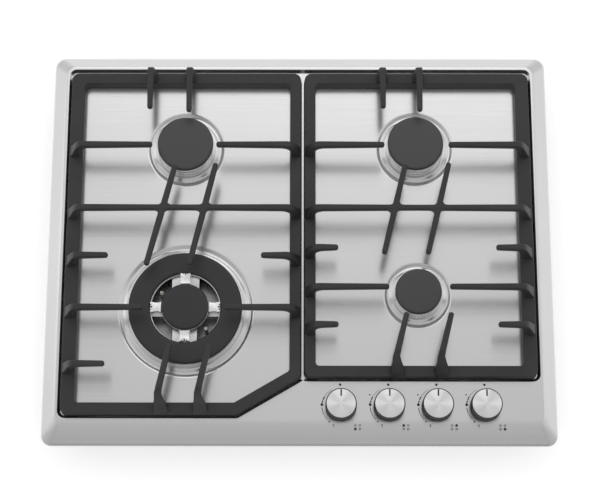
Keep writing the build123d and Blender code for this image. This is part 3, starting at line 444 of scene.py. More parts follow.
def round_plan(x, y, radius, steps=20):
    turns = [2 * pi * i / steps for i in range(steps)]
    return [(x + radius * cos(turn), y + radius * sin(turn)) for turn in turns]


def circle(x, y, radius, z, steps):
    return at_height(round_plan(x, y, radius, steps), z)


# %% Skins between loops
def add_skin(form, loops, closed=False):
    """Joins each loop to the next with quads, or with a fan where one is a single
    point; closed joins the last to the first."""
    rows = [[form.verts.new(point) for point in loop] for loop in loops]
    pairs = list(zip(rows, rows[1:]))
    if closed:
        pairs.append((rows[-1], rows[0]))
    for low, high in pairs:
        count = max(len(low), len(high))
        for i in range(count):
            j = (i + 1) % count
            if len(low) == 1:
                form.faces.new((low[0], high[j], high[i]))
            elif len(high) == 1:
                form.faces.new((low[i], low[j], high[0]))
            else:
                form.faces.new((low[i], low[j], high[j], high[i]))
    return rows


def add_solid(form, loops):
    """A skin whose first and last loops are closed by a face each."""
    rows = add_skin(form, loops)
    form.faces.new(reversed(rows[0]))
    form.faces.new(rows[-1])


def solid_form(loops):
    form = bmesh.new()
    add_solid(form, loops)
    return form


def add_turned(form, x, y, profile, steps, closed=False):
    """A profile of (radius, height) points turned about an upright axis. A profile
    that starts or ends on the axis gets a cap there."""
    loops = [circle(x, y, radius, z, steps) if radius > 0 else [metres(x, y, z)] for radius, z in profile]
    add_skin(form, loops, closed)


# %% Finished pieces
def finish_piece(name, form, material, body, slot, sharp_angle=None, weld=0.00001, keep_normals=False):
    """Turns a form into a piece with its finish and its body; the slot is not used."""
    bmesh.ops.remove_doubles(form, verts=form.verts, dist=weld)
    if not keep_normals:
        bmesh.ops.recalc_face_normals(form, faces=form.faces)
    mesh = bpy.data.meshes.new(name)
    form.to_mesh(mesh)
    form.free()
    for face in mesh.polygons:
        face.use_smooth = True
    if sharp_angle is not None:
        mesh.set_sharp_from_angle(angle=radians(sharp_angle))
    mesh.materials.append(material)
    piece = bpy.data.objects.new(name, mesh)
    bpy.context.scene.collection.objects.link(piece)
    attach(piece, body)
    print(name, "has", len(mesh.polygons), "faces")
    return piece


def turned_piece(name, x, y, profile, steps, *finish, closed=False, **shading):
    """A piece that is one turned profile; the finish is its material, body and slot."""
    form = bmesh.new()
    add_turned(form, x, y, profile, steps, closed)
    return finish_piece(name, form, *finish, **shading)


def flatten_levels(piece):
    """Shades large level faces flat, so their long triangles can't bend the shine."""
    for face in piece.data.polygons:
        if abs(face.normal.z) > 0.99999:
            face.use_smooth = False


def weigh_normals(piece):
    """Lets the large flat faces keep their own direction beside small rounded ones."""
    even = piece.modifiers.new("even_shading", "WEIGHTED_NORMAL")
    even.weight = 80
    even.keep_sharp = True

# %% [markdown]
# ## The pressed panel
#
# The panel is one steel sheet: a folded hem, a short skirt, a border that curves up to
# a crest, and a well sunk below it. A press can't make a sharp corner, so every edge
# gets a small radius here, and it is those radii that catch the light. The skin is
# built from loops, the flat regions are filled between loops by a triangulation that
# leaves the holes open, and a solidify modifier gives the sheet its thickness.

# %% The panel's sizes
PANEL_WIDTH, PANEL_DEPTH = 600.0, 480.0
PANEL_CORNER = 12.5
RIM_Z, EDGE_Z, CREST_Z, FLOOR_Z = 48.0, 51.5, 58.0, 53.0
HEM_WIDTH = 9.0
SIDE_BORDER, REAR_BORDER, FRONT_BORDER = 19.2, 17.2, 32.4
STRIP_DEPTH = 76.0
CREST_MARGIN = 2.5
WELL_CORNER = 8.0
WELL_DRAFT = 22.0
RAMP_ANGLE = 30.5
RAMP_FOOT_X = -72.0
SHEET = 1.0
HALF_WIDTH, HALF_DEPTH = PANEL_WIDTH / 2, PANEL_DEPTH / 2
WELL_LEFT, WELL_RIGHT = SIDE_BORDER - HALF_WIDTH, HALF_WIDTH - SIDE_BORDER
WELL_BACK, WELL_FRONT = HALF_DEPTH - REAR_BORDER, FRONT_BORDER - HALF_DEPTH
STRIP_BACK = STRIP_DEPTH - HALF_DEPTH
BURNERS = {
    "rear_left": (-137.2, 121.2),
    "rear_right": (138.7, 122.0),
    "front_right": (139.6, -60.3),
    "wok": (-134.1, -79.2),
}
rl_x, rl_y = BURNERS["rear_left"]
rr_x, rr_y = BURNERS["rear_right"]
fr_x, fr_y = BURNERS["front_right"]
WOK_X, WOK_Y = BURNERS["wok"]
KNOB_Y = -194.0
KNOB_XS = {"wok": 48.2, "rear_left": 104.2, "rear_right": 160.2, "front_right": 216.2}
# radius of the pressed ring, radius of the hole in it, points round them
DISHES = {
    "rear_left": (47.0, 31.9, 96),
    "rear_right": (47.0, 31.9, 96),
    "front_right": (40.5, 25.9, 96),
    "wok": (81.0, 65.5, 144),
}
DISH_WIDTH, DISH_DEPTH = 11.0, 1.35
SPINDLE_HOLE = 6.5


def ramp_x(y):
    return RAMP_FOOT_X + (y - WELL_FRONT) / tan(radians(RAMP_ANGLE))


def ramp_y(x):
    return WELL_FRONT + (x - RAMP_FOOT_X) * tan(radians(RAMP_ANGLE))


WELL_CORNERS = [
    (WELL_LEFT, WELL_FRONT), (ramp_x(WELL_FRONT), WELL_FRONT), (ramp_x(STRIP_BACK), STRIP_BACK),
    (WELL_RIGHT, STRIP_BACK), (WELL_RIGHT, WELL_BACK), (WELL_LEFT, WELL_BACK),
]
OUTER_CORNERS = box_corners(-HALF_WIDTH, -HALF_DEPTH, HALF_WIDTH, HALF_DEPTH)
CREST_CORNERS = box_corners(
    WELL_LEFT - CREST_MARGIN, WELL_FRONT - CREST_MARGIN, WELL_RIGHT + CREST_MARGIN, WELL_BACK + CREST_MARGIN
)

# %% The border, from the hem over the skirt to the crest
EDGE_RADIUS = 1.4
BORDER_START = 0.4  # the border's foot over the edge
BORDER_RISE = CREST_Z - EDGE_Z - BORDER_START
BEND_START = 0.78
BORDER_SHARES = (0.05, 0.2, 0.35, 0.5, 0.65, 0.78, 0.83, 0.88, 0.92, 0.96, 1.0)
FRONT_CURVE_Y, FRONT_CURVE_FADE = -230.0, 8.0
HEM_PROFILE = [
    (HEM_WIDTH, RIM_Z), (1.6, RIM_Z), (0.5, RIM_Z + 0.35), (0.0, RIM_Z + 1.2), (0.0, EDGE_Z - EDGE_RADIUS),
    (0.25, EDGE_Z - 0.55), (0.75, EDGE_Z + 0.15),
]


def between(low, high, share):
    return [(a[0] + (b[0] - a[0]) * share, a[1] + (b[1] - a[1]) * share) for a, b in zip(low, high)]


outer_plan = rounded(OUTER_CORNERS, PANEL_CORNER)
crest_plan = rounded(CREST_CORNERS, WELL_CORNER + CREST_MARGIN)
border_loops = loops_round(OUTER_CORNERS, PANEL_CORNER, HEM_PROFILE)


def border_height(share, y):
    """The slope is straight and bends over near its top; towards the front edge it
    becomes one long curve."""
    past = max(0.0, share - BEND_START)
    straight = (share - past ** 2 / (2 * (1 - BEND_START))) * 2 / (1 + BEND_START)
    front = min(1.0, max(0.0, (FRONT_CURVE_Y - y) / FRONT_CURVE_FADE))
    return EDGE_Z + BORDER_START + BORDER_RISE * (straight * (1 - front) + sin(pi / 2 * share) * front)


for share in BORDER_SHARES:
    plan = between(outer_plan, crest_plan, 0.08 + 0.92 * share)
    heights = [border_height(share, y) for _, y in outer_plan]
    border_loops.append([metres(x, y, z) for (x, y), z in zip(plan, heights)])
panel_form = bmesh.new()
add_skin(panel_form, border_loops)
print("border:", len(border_loops), "loops of", len(border_loops[0]), "points")

# %% The lip and the slope down to the well's floor
LIP_RADIUS = 1.0
slope_inset = (CREST_Z - FLOOR_Z) * tan(radians(WELL_DRAFT))
lip_profile = [
    (-LIP_RADIUS, CREST_Z), (-0.62, CREST_Z - 0.07), (-0.26, CREST_Z - 0.26), (0.02, CREST_Z - 0.55),
    (0.24, CREST_Z - 0.95),
    *near(slope_inset, FLOOR_Z, (-0.42, 1.05), (-0.08, 0.50), (0.45, 0.14), (1.15, 0)),
]
lip_loops = loops_round(WELL_CORNERS, WELL_CORNER, lip_profile)
add_skin(panel_form, lip_loops)
print("well's edge:", len(lip_loops), "loops")


# %% Flat regions with holes
def encloses(loop, x, y):
    """Says whether a level loop goes round a spot, by counting crossings."""
    inside = False
    for a, b in zip(loop, loop[1:] + loop[:1]):
        if (a.y > y) != (b.y > y) and x < a.x + (b.x - a.x) * (y - a.y) / (b.y - a.y):
            inside = not inside
    return inside


def add_flat(form, z, outer, holes):
    """Fills the plane between an outer loop and the loops of its holes."""
    points, edges = [], []
    for loop in [outer] + holes:
        start = len(points)
        points += [Vector((p.x, p.y)) for p in loop]
        edges += [(start + i, start + (i + 1) % len(loop)) for i in range(len(loop))]
    spots, _, faces, _, _, _ = delaunay_2d_cdt(points, edges, [], 1, 1e-7)
    made = [form.verts.new((p.x, p.y, z * MM)) for p in spots]
    for face in faces:
        x = sum(spots[i].x for i in face) / len(face)
        y = sum(spots[i].y for i in face) / len(face)
        if not any(encloses(hole, x, y) for hole in holes):
            form.faces.new([made[i] for i in face])


spindle_loops = [circle(x, KNOB_Y, SPINDLE_HOLE, CREST_Z, 32) for x in KNOB_XS.values()]
add_flat(panel_form, CREST_Z, border_loops[-1], [lip_loops[0]] + spindle_loops)
dish_loops = [circle(*BURNERS[name], outer, FLOOR_Z, steps) for name, (outer, _, steps) in DISHES.items()]
add_flat(panel_form, FLOOR_Z, lip_loops[-1], dish_loops)

# %% The ring pressed round each burner
GROOVE_STEPS = 12
HOLE_CURL = 0.8
for name, (outer, hole, steps) in DISHES.items():
    profile = []
    for step in range(GROOVE_STEPS + 1):
        share = step / GROOVE_STEPS
        dip = DISH_DEPTH * 0.5 * (1.0 - cos(2 * pi * share))
        profile.append((outer - DISH_WIDTH * share, FLOOR_Z - dip))
    profile += [(hole + HOLE_CURL, FLOOR_Z), (hole + 0.2, FLOOR_Z - 0.25), (hole, FLOOR_Z - HOLE_CURL)]
    add_turned(panel_form, *BURNERS[name], profile, steps)
print("rings pressed:", len(DISHES))

# %% Thickness and finish
panel = finish_piece("panel_skin", panel_form, panel_steel, "cooktop", "brushed_panel")
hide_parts("top_panel")
skin = panel.modifiers.new("sheet", "SOLIDIFY")
skin.thickness = SHEET * MM
skin.offset = -1.0
flatten_levels(panel)

# %% [markdown]
# ## Cast pan supports
#
# Each support is one iron casting: a frame that follows the well's edge, and fingers
# that rise from it, bend over and run in over the burners. A finger is a row of
# rounded sections along its side view. The row is thinned out where the finger is
# straight and gathered where it bends, so the knee stays round.

# %% Sizes of the supports
SIDE_GAP, REAR_GAP, FRONT_GAP, MIDDLE_GAP = 4.0, 8.5, 2.5, 3.4
MIDDLE_SHIFT = 3.6
SIDE_RAIL, END_RAIL, MIDDLE_RAIL, RAMP_RAIL = 16.2, 13.4, 13.6, 13.0
RAIL_FOOT_Z, RAIL_Z, FINGER_Z = 55.5, 68.5, 98.0
RAIL_CORNER, RAIL_INNER_CORNER = 8.5, 4.5
FINGER_WIDTH, FINGER_DEPTH = 6.8, 8.5


def frame_corners(which, side, end, middle, ramp):
    """The frame's corners, moved in by an amount for each kind of side."""
    back = WELL_BACK - REAR_GAP - end
    if which == "right":
        left = MIDDLE_SHIFT + MIDDLE_GAP / 2 + middle
        return box_corners(left, STRIP_BACK + FRONT_GAP + end, WELL_RIGHT - SIDE_GAP - side, back)
    left, right = WELL_LEFT + SIDE_GAP + side, MIDDLE_SHIFT - MIDDLE_GAP / 2 - middle
    front = WELL_FRONT + FRONT_GAP + end
    slant = (FRONT_GAP + ramp) / sin(radians(RAMP_ANGLE))
    rise = (FRONT_GAP + ramp) / cos(radians(RAMP_ANGLE))
    return [(left, front), (ramp_x(front) - slant, front), (right, ramp_y(right) + rise), (right, back), (left, back)]


# %% A frame with softened edges
FRAME_EDGE, EDGE_STEPS = 1.0, 4
TOP_DRAFT, FOOT_DRAFT = 0.5, 0.5
RIM_FOOT_Z, RIM_FOOT_WIDTH = 54.2, 1.4


def frame_shell(which):
    """Loops from the outer foot, over the softened top edges, to the inner foot and
    back under."""
    outer = frame_corners(which, 0, 0, TOP_DRAFT, 0)
    foot = frame_corners(which, *[-FOOT_DRAFT] * 4)
    inner = frame_corners(which, SIDE_RAIL, END_RAIL, MIDDLE_RAIL, RAMP_RAIL)
    turns = [pi / 2 * step / EDGE_STEPS for step in range(EDGE_STEPS + 1)]
    edge = [(FRAME_EDGE * (1 - cos(turn)), RAIL_Z - FRAME_EDGE * (1 - sin(turn))) for turn in turns]
    rim = [(RIM_FOOT_WIDTH, RAIL_FOOT_Z), (RIM_FOOT_WIDTH - 0.3, RIM_FOOT_Z), (0.0, RIM_FOOT_Z)]
    loops = loops_round(foot, RAIL_CORNER, rim) + loops_round(outer, RAIL_CORNER, edge)
    back_down = [(-inset, z) for inset, z in edge[::-1] + rim[::-1]]
    form = bmesh.new()
    add_skin(form, loops + loops_round(inner, RAIL_INNER_CORNER, back_down), closed=True)
    return form


# %% A rounded section and a finger through many of them
SECTION_STEPS, SECTION_EDGE = 3, 1.7
TIP_LENGTH, TIP_SHARES = 3.0, (0.35, 0.6, 0.8, 0.93, 1.0)
UPWARDS = Vector((0, 0, 1))


def level_vector(spot):
    return Vector((spot[0], spot[1], 0.0))


def side_of(heading):
    return Vector((heading.y, -heading.x, 0.0))


def tip_drop(share):
    """How far a rounded tip has fallen back at a share of its length."""
    return TIP_LENGTH * (1 - sqrt(max(0.0, 1 - share ** 2)))


def section_points(place, out, side, width, height):
    """A rounded rectangle: out points from the middle to the finger's back."""
    half_w, half_h = width / 2, height / 2
    edge = min(SECTION_EDGE, half_w * 0.95, half_h * 0.95)
    points = []
    for cx, cy, start in ((1, 1, 0.0), (-1, 1, pi / 2), (-1, -1, pi), (1, -1, 3 * pi / 2)):
        for step in range(SECTION_STEPS + 1):
            angle = start + pi / 2 * step / SECTION_STEPS
            u = cx * (half_w - edge) + edge * cos(angle)
            v = cy * (half_h - edge) + edge * sin(angle)
            points.append((place + side * u + out * v) * MM)
    return points


def smooth_between(values, after, steps):
    """Catmull-Rom points through rows of numbers, heading past the last one as asked."""
    rows = [Vector(v) for v in values]
    rows = [rows[0] * 2 - rows[1]] + rows + [Vector(after)]
    out = []
    for i in range(1, len(rows) - 2):
        p0, p1, p2, p3 = rows[i - 1:i + 3]
        bend = p0 * 2 - p1 * 5 + p2 * 4 - p3
        twist = p1 * 3 - p0 - p2 * 3 + p3
        for step in range(steps):
            t = step / steps
            out.append((p1 * 2 + (p2 - p0) * t + bend * t ** 2 + twist * t ** 3) * 0.5)
    out.append(rows[-2])
    return out


def finger_shell(foot, knee, tip, blunt=False, spread=1.0):
    """A closed shell from the foot inside the frame to the finger's tip."""
    foot, knee, tip = (level_vector(spot) for spot in (foot, knee, tip))
    lean = (knee - foot).length
    reach = lean + (tip - knee).length
    top = FINGER_Z
    end = reach if blunt else reach - TIP_LENGTH
    # along and height of the back, along and height of the underside, width
    rows = [
        (0.0, RAIL_Z - 4.0, 10.5, RAIL_Z - 4.0, 14.5 * spread),
        (0.6, RAIL_Z + 1.5, 10.9, RAIL_Z + 1.5, 13.2 * spread),
        (lean * 0.40, top - 19.0, 11.0 + lean * 0.1, RAIL_Z + 7.0, 11.0 * spread),
        (lean * 0.72, top - 10.0, 9.5 + lean * 0.3, top - 17.5, 9.2 * (1 + spread) / 2),
        (lean + 1.5, top - 2.4, lean * 0.7 + 8.5, top - 12.0, 7.9),
        (lean + 7.0, top, lean + 13.0, top - FINGER_DEPTH, FINGER_WIDTH + 0.5),
    ]
    level = FINGER_DEPTH - 1.5 * (end - lean - 13.0) / max(1.0, end - lean)
    # the row past the last is level with the one before it, so the curve ends level
    past = (lean + 12.5, top - 2.4, lean * 1.3 + 17.5, top - 12.0, FINGER_WIDTH + 0.3)
    rows = smooth_between(rows, past, 4)
    rows.append(Vector((end, top, end, top - level, FINGER_WIDTH - 0.5)))

    def spot(along, height):
        if along < lean:
            p = foot + (knee - foot) * (along / lean)
        else:
            p = knee + (tip - knee) * ((along - lean) / (reach - lean))
        return Vector((p.x, p.y, height))

    d_low, d_high = (knee - foot).normalized(), (tip - knee).normalized()
    loops = []
    for a_out, z_out, a_in, z_in, width in rows:
        outer, inner = spot(a_out, z_out), spot(a_in, z_in)
        blend = min(1.0, max(0.0, ((a_out + a_in) / 2 - lean + 6.0) / 12.0))
        heading = (d_low * (1 - blend) + d_high * blend).normalized()
        side = side_of(heading)
        out = (outer - inner).normalized()
        loops.append(section_points((outer + inner) / 2, out, side, width, (outer - inner).length))
    if not blunt:
        last_out, last_in = spot(end, top), spot(end, top - level)
        side = side_of(d_high)
        for share in TIP_SHARES:
            drop = tip_drop(share)
            middle = (last_out + last_in) / 2 + d_high * (TIP_LENGTH * share)
            wide = (FINGER_WIDTH - 0.5) - 1.7 * drop
            loops.append(section_points(middle, UPWARDS, side, wide, level - 1.4 * drop))
    return solid_form(loops)


BAR_DROP = 0.15


def bar_shell(start, stop):
    """A level bar with two rounded tips, a hair lower than the finger that it crosses."""
    start, stop = level_vector(start), level_vector(stop)
    run = (stop - start).length
    heading = (stop - start).normalized()
    side = side_of(heading)
    tips = [(TIP_LENGTH * (1 - share), tip_drop(share)) for share in reversed(TIP_SHARES)]
    spots = tips + [(TIP_LENGTH, 0.0), (run / 2, 0.0), (run - TIP_LENGTH, 0.0)]
    spots += [(run - along, drop) for along, drop in reversed(tips)]
    loops = []
    for along, drop in spots:
        middle_share = 1 - abs(along - run / 2) / (run / 2)
        high = 7.0 + 1.5 * middle_share - 1.4 * drop
        wide = 6.3 + 0.8 * middle_share - 1.7 * drop
        place = start + heading * along + Vector((0, 0, FINGER_Z - BAR_DROP - 0.7 * drop - high / 2))
        loops.append(section_points(place, UPWARDS, side, wide, high))
    return solid_form(loops)


WEB_REACH, WEB_RADIUS, WEB_STEPS = 12.0, 5.0, 6


def web_shell(x, y, heading):
    """The fillets where two bars cross: a four-cornered star with hollow sides."""
    half = (FINGER_WIDTH - 1.0) / 2
    axes = [0.0, heading % pi, pi, heading % pi + pi, 2 * pi]
    plan = []
    for a0, a1 in zip(axes, axes[1:]):
        middle, away = (a0 + a1) / 2, (half + WEB_RADIUS) / sin((a1 - a0) / 2)
        centre = (x + away * cos(middle), y + away * sin(middle))
        first, last = a0 - pi / 2, a1 + pi / 2
        turns = [first + (last - 2 * pi - first) * step / WEB_STEPS for step in range(WEB_STEPS + 1)]
        ends = []
        for axis, across in ((a0, half * 0.6), (a1, -half * 0.6)):
            c, s = cos(axis), sin(axis)
            ends.append((x + WEB_REACH * c - across * s, y + WEB_REACH * s + across * c))
        hollow = [(centre[0] + WEB_RADIUS * cos(turn), centre[1] + WEB_RADIUS * sin(turn)) for turn in turns]
        plan += [ends[0], *hollow, ends[1]]
    return solid_form([at_height(plan, FINGER_Z - 7.2), at_height(plan, FINGER_Z - 0.35)])


def crossing_x(bar, y):
    (x0, y0), (x1, y1) = bar
    return x0 + (x1 - x0) * (y - y0) / (y1 - y0)


# %% Where the fingers stand
LEFT_FOOT = WELL_LEFT + SIDE_GAP + 1.0
LEFT_MIDDLE_FOOT = MIDDLE_SHIFT - MIDDLE_GAP / 2 - 1.0
RIGHT_MIDDLE_FOOT = MIDDLE_SHIFT + MIDDLE_GAP / 2 + 1.0
RIGHT_FOOT = WELL_RIGHT - SIDE_GAP - 1.0
BACK_FOOT = WELL_BACK - REAR_GAP - 1.0
LEFT_FRONT_FOOT = WELL_FRONT + FRONT_GAP + 1.0
RIGHT_FRONT_FOOT = STRIP_BACK + FRONT_GAP + 1.0
REAR_ROW, BAR_ROW, LEFT_SHORT_ROW, RIGHT_SHORT_ROW = 113.8, 35.7, -22.4, -12.8
WOK_ROW, FRONT_SHORT_ROW, SMALL_ROW, RIGHT_LOW_ROW = -84.8, -151.5, -60.0, -105.0


def level_finger(foot_x, row, tip_x, blunt=False):
    inward = 1.0 if tip_x > foot_x else -1.0
    return finger_shell((foot_x, row), (foot_x + 10.0 * inward, row), (tip_x, row), blunt)


def back_finger(x, tip_y):
    return finger_shell((x, BACK_FOOT + 0.6), (x, BACK_FOOT - 0.2), (x, tip_y))


def front_finger(foot_x, foot_y, tip_y):
    return finger_shell((foot_x, foot_y - 0.6), (foot_x - 2.8, foot_y + 19.0), (foot_x + 9.8, tip_y), spread=1.3)


# %% Cast one support
def cast_support(which, feet, rows, backs, fronts, bars):
    """A frame, its fingers and bars as closed shells in one piece. A row holds a place
    along Y and the tips that its fingers reach from the left and from the right."""
    shells = [frame_shell(which)]
    for row, *tips in rows:
        shells += [level_finger(foot, row, tip, blunt=row == BAR_ROW) for foot, tip in zip(feet, tips)]
    shells += [back_finger(*back) for back in backs] + [front_finger(*front) for front in fronts]
    for start, stop in bars:
        shells.append(bar_shell(start, stop))
        bar_turn = atan2(stop[1] - start[1], stop[0] - start[0])
        shells.append(web_shell(crossing_x((start, stop), BAR_ROW), BAR_ROW, bar_turn))
    whole = bmesh.new()
    for shell in shells:
        bmesh.ops.recalc_face_normals(shell, faces=shell.faces)
        scrap = bpy.data.meshes.new("scrap")
        shell.to_mesh(scrap)
        shell.free()
        whole.from_mesh(scrap)
        bpy.data.meshes.remove(scrap)
    piece = finish_piece(
        f"{which}_support_casting", whole, cast_enamel, f"{which}_support", "cast_iron",
        sharp_angle=50, weld=0.0, keep_normals=True,
    )
    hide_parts(f"{which}_pan_support")
    weigh_normals(piece)


# %% The left support
cast_support(
    "left",
    feet=(LEFT_FOOT, LEFT_MIDDLE_FOOT),
    rows=[
        (REAR_ROW, rl_x - 38.0, rl_x + 38.0), (BAR_ROW, rl_x, rl_x),
        (LEFT_SHORT_ROW, LEFT_FOOT + 52.0, LEFT_MIDDLE_FOOT - 46.0), (WOK_ROW, WOK_X - 47.0, WOK_X + 47.0),
        (FRONT_SHORT_ROW, LEFT_FOOT + 52.0),
    ],
    backs=[(rl_x - 42.0, rl_y + 37.8), (rl_x + 4.8, rl_y + 33.8)],
    fronts=[(WOK_X - 25.4, LEFT_FRONT_FOOT, WOK_Y - 48.5), (WOK_X + 20.3, LEFT_FRONT_FOOT, WOK_Y - 48.5)],
    bars=[
        ((rl_x - 10.3, rl_y - 33.0), (WOK_X - 45.1, WOK_Y + 44.4)),
        ((rl_x + 38.0, rl_y - 30.8), (WOK_X + 5.1, WOK_Y + 44.4)),
    ],
)

# %% The right support
cast_support(
    "right",
    feet=(RIGHT_MIDDLE_FOOT, RIGHT_FOOT),
    rows=[
        (REAR_ROW, rr_x - 38.0, rr_x + 38.0), (BAR_ROW, rr_x, rr_x),
        (RIGHT_SHORT_ROW, RIGHT_MIDDLE_FOOT + 39.0, RIGHT_FOOT - 46.0),
        (SMALL_ROW, fr_x - 35.2, fr_x + 35.2), (RIGHT_LOW_ROW, RIGHT_MIDDLE_FOOT + 39.0, RIGHT_FOOT - 46.0),
    ],
    backs=[(rr_x - 39.0, rr_y + 37.8), (rr_x + 4.8, rr_y + 33.8)],
    fronts=[(fr_x - 25.0, RIGHT_FRONT_FOOT, fr_y - 30.5), (fr_x + 26.7, RIGHT_FRONT_FOOT, fr_y - 30.5)],
    bars=[
        ((rr_x - 13.7, rr_y - 33.0), (fr_x - 40.9, fr_y + 39.4)),
        ((rr_x + 38.0, rr_y - 30.8), (fr_x + 10.4, fr_y + 39.4)),
    ],
)


# %% [markdown]
# ## Burners
#
# A burner is three things on this side of the panel: a bright cup whose flange shows as
# a thin ring, a cast spreader whose fine slots let the gas out, and a black enamelled
# lid. Slots are cut as narrow teeth in a turned wall, which is how a machinist would
# see them, so every slot is real and the flame side shows a fine comb.

# %% Cast alloy with painted shade below the panel, where the cup sits down in the panel's hole
CUP_SHADE_LOW_Z, CUP_SHADE_TOP_Z = 50.0, 54.5
CUP_SHADED_GREY, CUP_OWN_GREY = 0.42, 0.76
cup_metal = grained("cup_alloy", CAST, (0.74, 0.74, 0.74), 0.3, 700.0, 0.12)
height = node(cup_metal, "ShaderNodeSeparateXYZ")
wire(cup_metal, object_place(cup_metal), height.inputs[0])
# painted shade: below the panel the alloy's own grey fades to a darker grey, standing in for the shade inside the hole
out_of_shade = remap(cup_metal, height.outputs["Z"], CUP_SHADE_LOW_Z * MM, CUP_SHADE_TOP_Z * MM, 0.0, 1.0)
painted_shade = node(cup_metal, "ShaderNodeValToRGB")
for stop, grey in zip(painted_shade.color_ramp.elements, (CUP_SHADED_GREY, CUP_OWN_GREY)):
    stop.color = (grey, grey, grey, 1.0)
wire(cup_metal, out_of_shade, painted_shade.inputs["Fac"])
wire(cup_metal, painted_shade.outputs["Color"], shader_of(cup_metal).inputs["Base Color"])
print("finish:", cup_metal.name)

# %% Cups
FLANGE_Z = 55.5
# radius of the flange and of the bore
CUPS = {"rear_left": (34.5, 26.0), "rear_right": (34.5, 26.0), "front_right": (28.5, 20.0), "wok": (69.0, 59.6)}
CUP_FLOOR = 36.0


def cup(name):
    """A deep cup that hangs in the panel's hole by its flange."""
    flange, bore = CUPS[name]
    wall = DISHES[name][1] - 0.6
    profile = [
        (0.0, CUP_FLOOR - 2.0), (bore + 3.0, CUP_FLOOR - 2.0), (wall - 0.4, CUP_FLOOR + 0.4),
        (wall - 0.2, FLOOR_Z + 0.02),
        *near(flange, FLOOR_Z, (-0.5, 0.02), (0, 0.5)),
        *near(flange, FLANGE_Z, (0, -0.7), (-0.25, -0.2), (-0.8, 0)),
        *near(bore, FLANGE_Z, (1.0, 0), (0, -0.8)),
        *near(bore, CUP_FLOOR, (0, 2.0), (-2.0, 0)),
        (0.0, CUP_FLOOR),
    ]
    finish = (cup_metal, "cooktop", "burner_alloy")
    return turned_piece(f"{name}_cup", *BURNERS[name], profile, 128, *finish, sharp_angle=40)


cups = [cup(name) for name in CUPS]
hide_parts("burner_cups")

# %% A slotted wall
SLOT_DEPTH, SLOT_SHARE = 1.6, 0.42


def add_slotted_wall(form, x, y, outer, low, high, slots, sill=1.2, head=1.0):
    """A ring whose upright wall has many narrow slots: a land, a slot, a land. The slot
    is a recess with walls of its own."""
    inner = outer - SLOT_DEPTH
    levels = [(outer, low), (outer, low + sill), (outer, high - head), (outer, high)]
    levels += [(inner, low + sill), (inner, high - head)]
    spokes = []
    for i in range(slots * 2):
        turn = 2 * pi * (i // 2) / slots + (i % 2) * 2 * pi / slots * (1 - SLOT_SHARE)
        c, s = cos(turn), sin(turn)
        spokes.append([form.verts.new(metres(x + radius * c, y + radius * s, z)) for radius, z in levels])
    for i, a in enumerate(spokes):
        b = spokes[(i + 1) % len(spokes)]
        is_slot = i % 2 == 1
        bands = [(4, 5), (1, 4), (5, 2)] if is_slot else [(1, 2)]
        for p, q in [(0, 1), (2, 3)] + bands:
            form.faces.new((a[p], b[p], b[q], a[q]))
        if is_slot:
            form.faces.new((a[1], a[4], a[5], a[2]))
            form.faces.new((b[4], b[1], b[2], b[5]))


# %% Single-crown spreaders
# radius of the wall, height of the top, slots
SPREADERS = {"rear_left": (31.0, 72.5, 64), "rear_right": (31.0, 72.5, 64), "front_right": (25.0, 70.0, 52)}


def spreader(name):
    """A brimmed foot, a slotted wall and a lipped head."""
    x, y = BURNERS[name]
    radius, top, slots = SPREADERS[name]
    form = bmesh.new()
    add_slotted_wall(form, x, y, radius, FLANGE_Z + 3.4, top - 3.2, slots)
    brim = radius + 2.4
    foot = [
        (radius, FLANGE_Z + 3.4),
        *near(brim, FLANGE_Z, (-0.6, 3.0), (0, 2.5), (0, 0.6), (-0.5, 0.02)),
        *near(radius, FLANGE_Z, (-5.0, 0.02), (-5.0, -6.0)),
        (0.0, FLANGE_Z - 6.0),
    ]
    add_turned(form, x, y, foot, 128)
    head = [
        *near(radius, top, (0, -3.2), (2.6, -2.9), (3.1, -2.5), (2.9, -1.9), (1.9, -1.6), (0.4, -0.5)),
        *near(radius, top, (-0.6, -0.02)),
        (0.0, top - 0.02),
    ]
    add_turned(form, x, y, head, 128)
    body = f"{name}_spreader"
    piece = finish_piece(f"{body}_casting", form, burner_metal, body, "burner_alloy", sharp_angle=35)
    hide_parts(f"{name}_crown")


for name in SPREADERS:
    spreader(name)

# %% The wok burner's spreader: its outer ring
WOK_WALL, WOK_INNER_WALL, HUB_WALL = 64.6, 43.9, 25.1
RING_UNDER, HUB_TOP = 65.0, 70.5
ARM_LOW, ARM_TOP = 55.5, 62.5
KEY_TOP = 72.0
WOK_LIP, WOK_LIP_Z = 68.2, 60.0
wok_form = bmesh.new()
add_slotted_wall(wok_form, WOK_X, WOK_Y, WOK_WALL, WOK_LIP_Z + 0.5, RING_UNDER - 0.6, 96, sill=0.8, head=0.6)
wok_ring = [
    *near(WOK_WALL, RING_UNDER, (0, -0.6), (-0.6, -0.02)),
    (WOK_INNER_WALL + 1.0, RING_UNDER - 0.02), (42.6, 63.6), (41.2, 63.6), (40.7, 63.5), (40.5, 63.2),
    (40.8, 62.8), (WOK_INNER_WALL, 62.4), (WOK_INNER_WALL, FLANGE_Z + 0.02),
    *near(WOK_WALL, FLANGE_Z, (-0.6, 0.02), (0, 1.0)),
    (WOK_WALL, WOK_LIP_Z - 0.9),
    *near(WOK_LIP, WOK_LIP_Z, (-0.5, -0.6), (0, -0.2), (-0.2, 0.25), (-0.8, 0.45)),
    (WOK_WALL, WOK_LIP_Z + 0.5),
]
add_turned(wok_form, WOK_X, WOK_Y, wok_ring, 192)

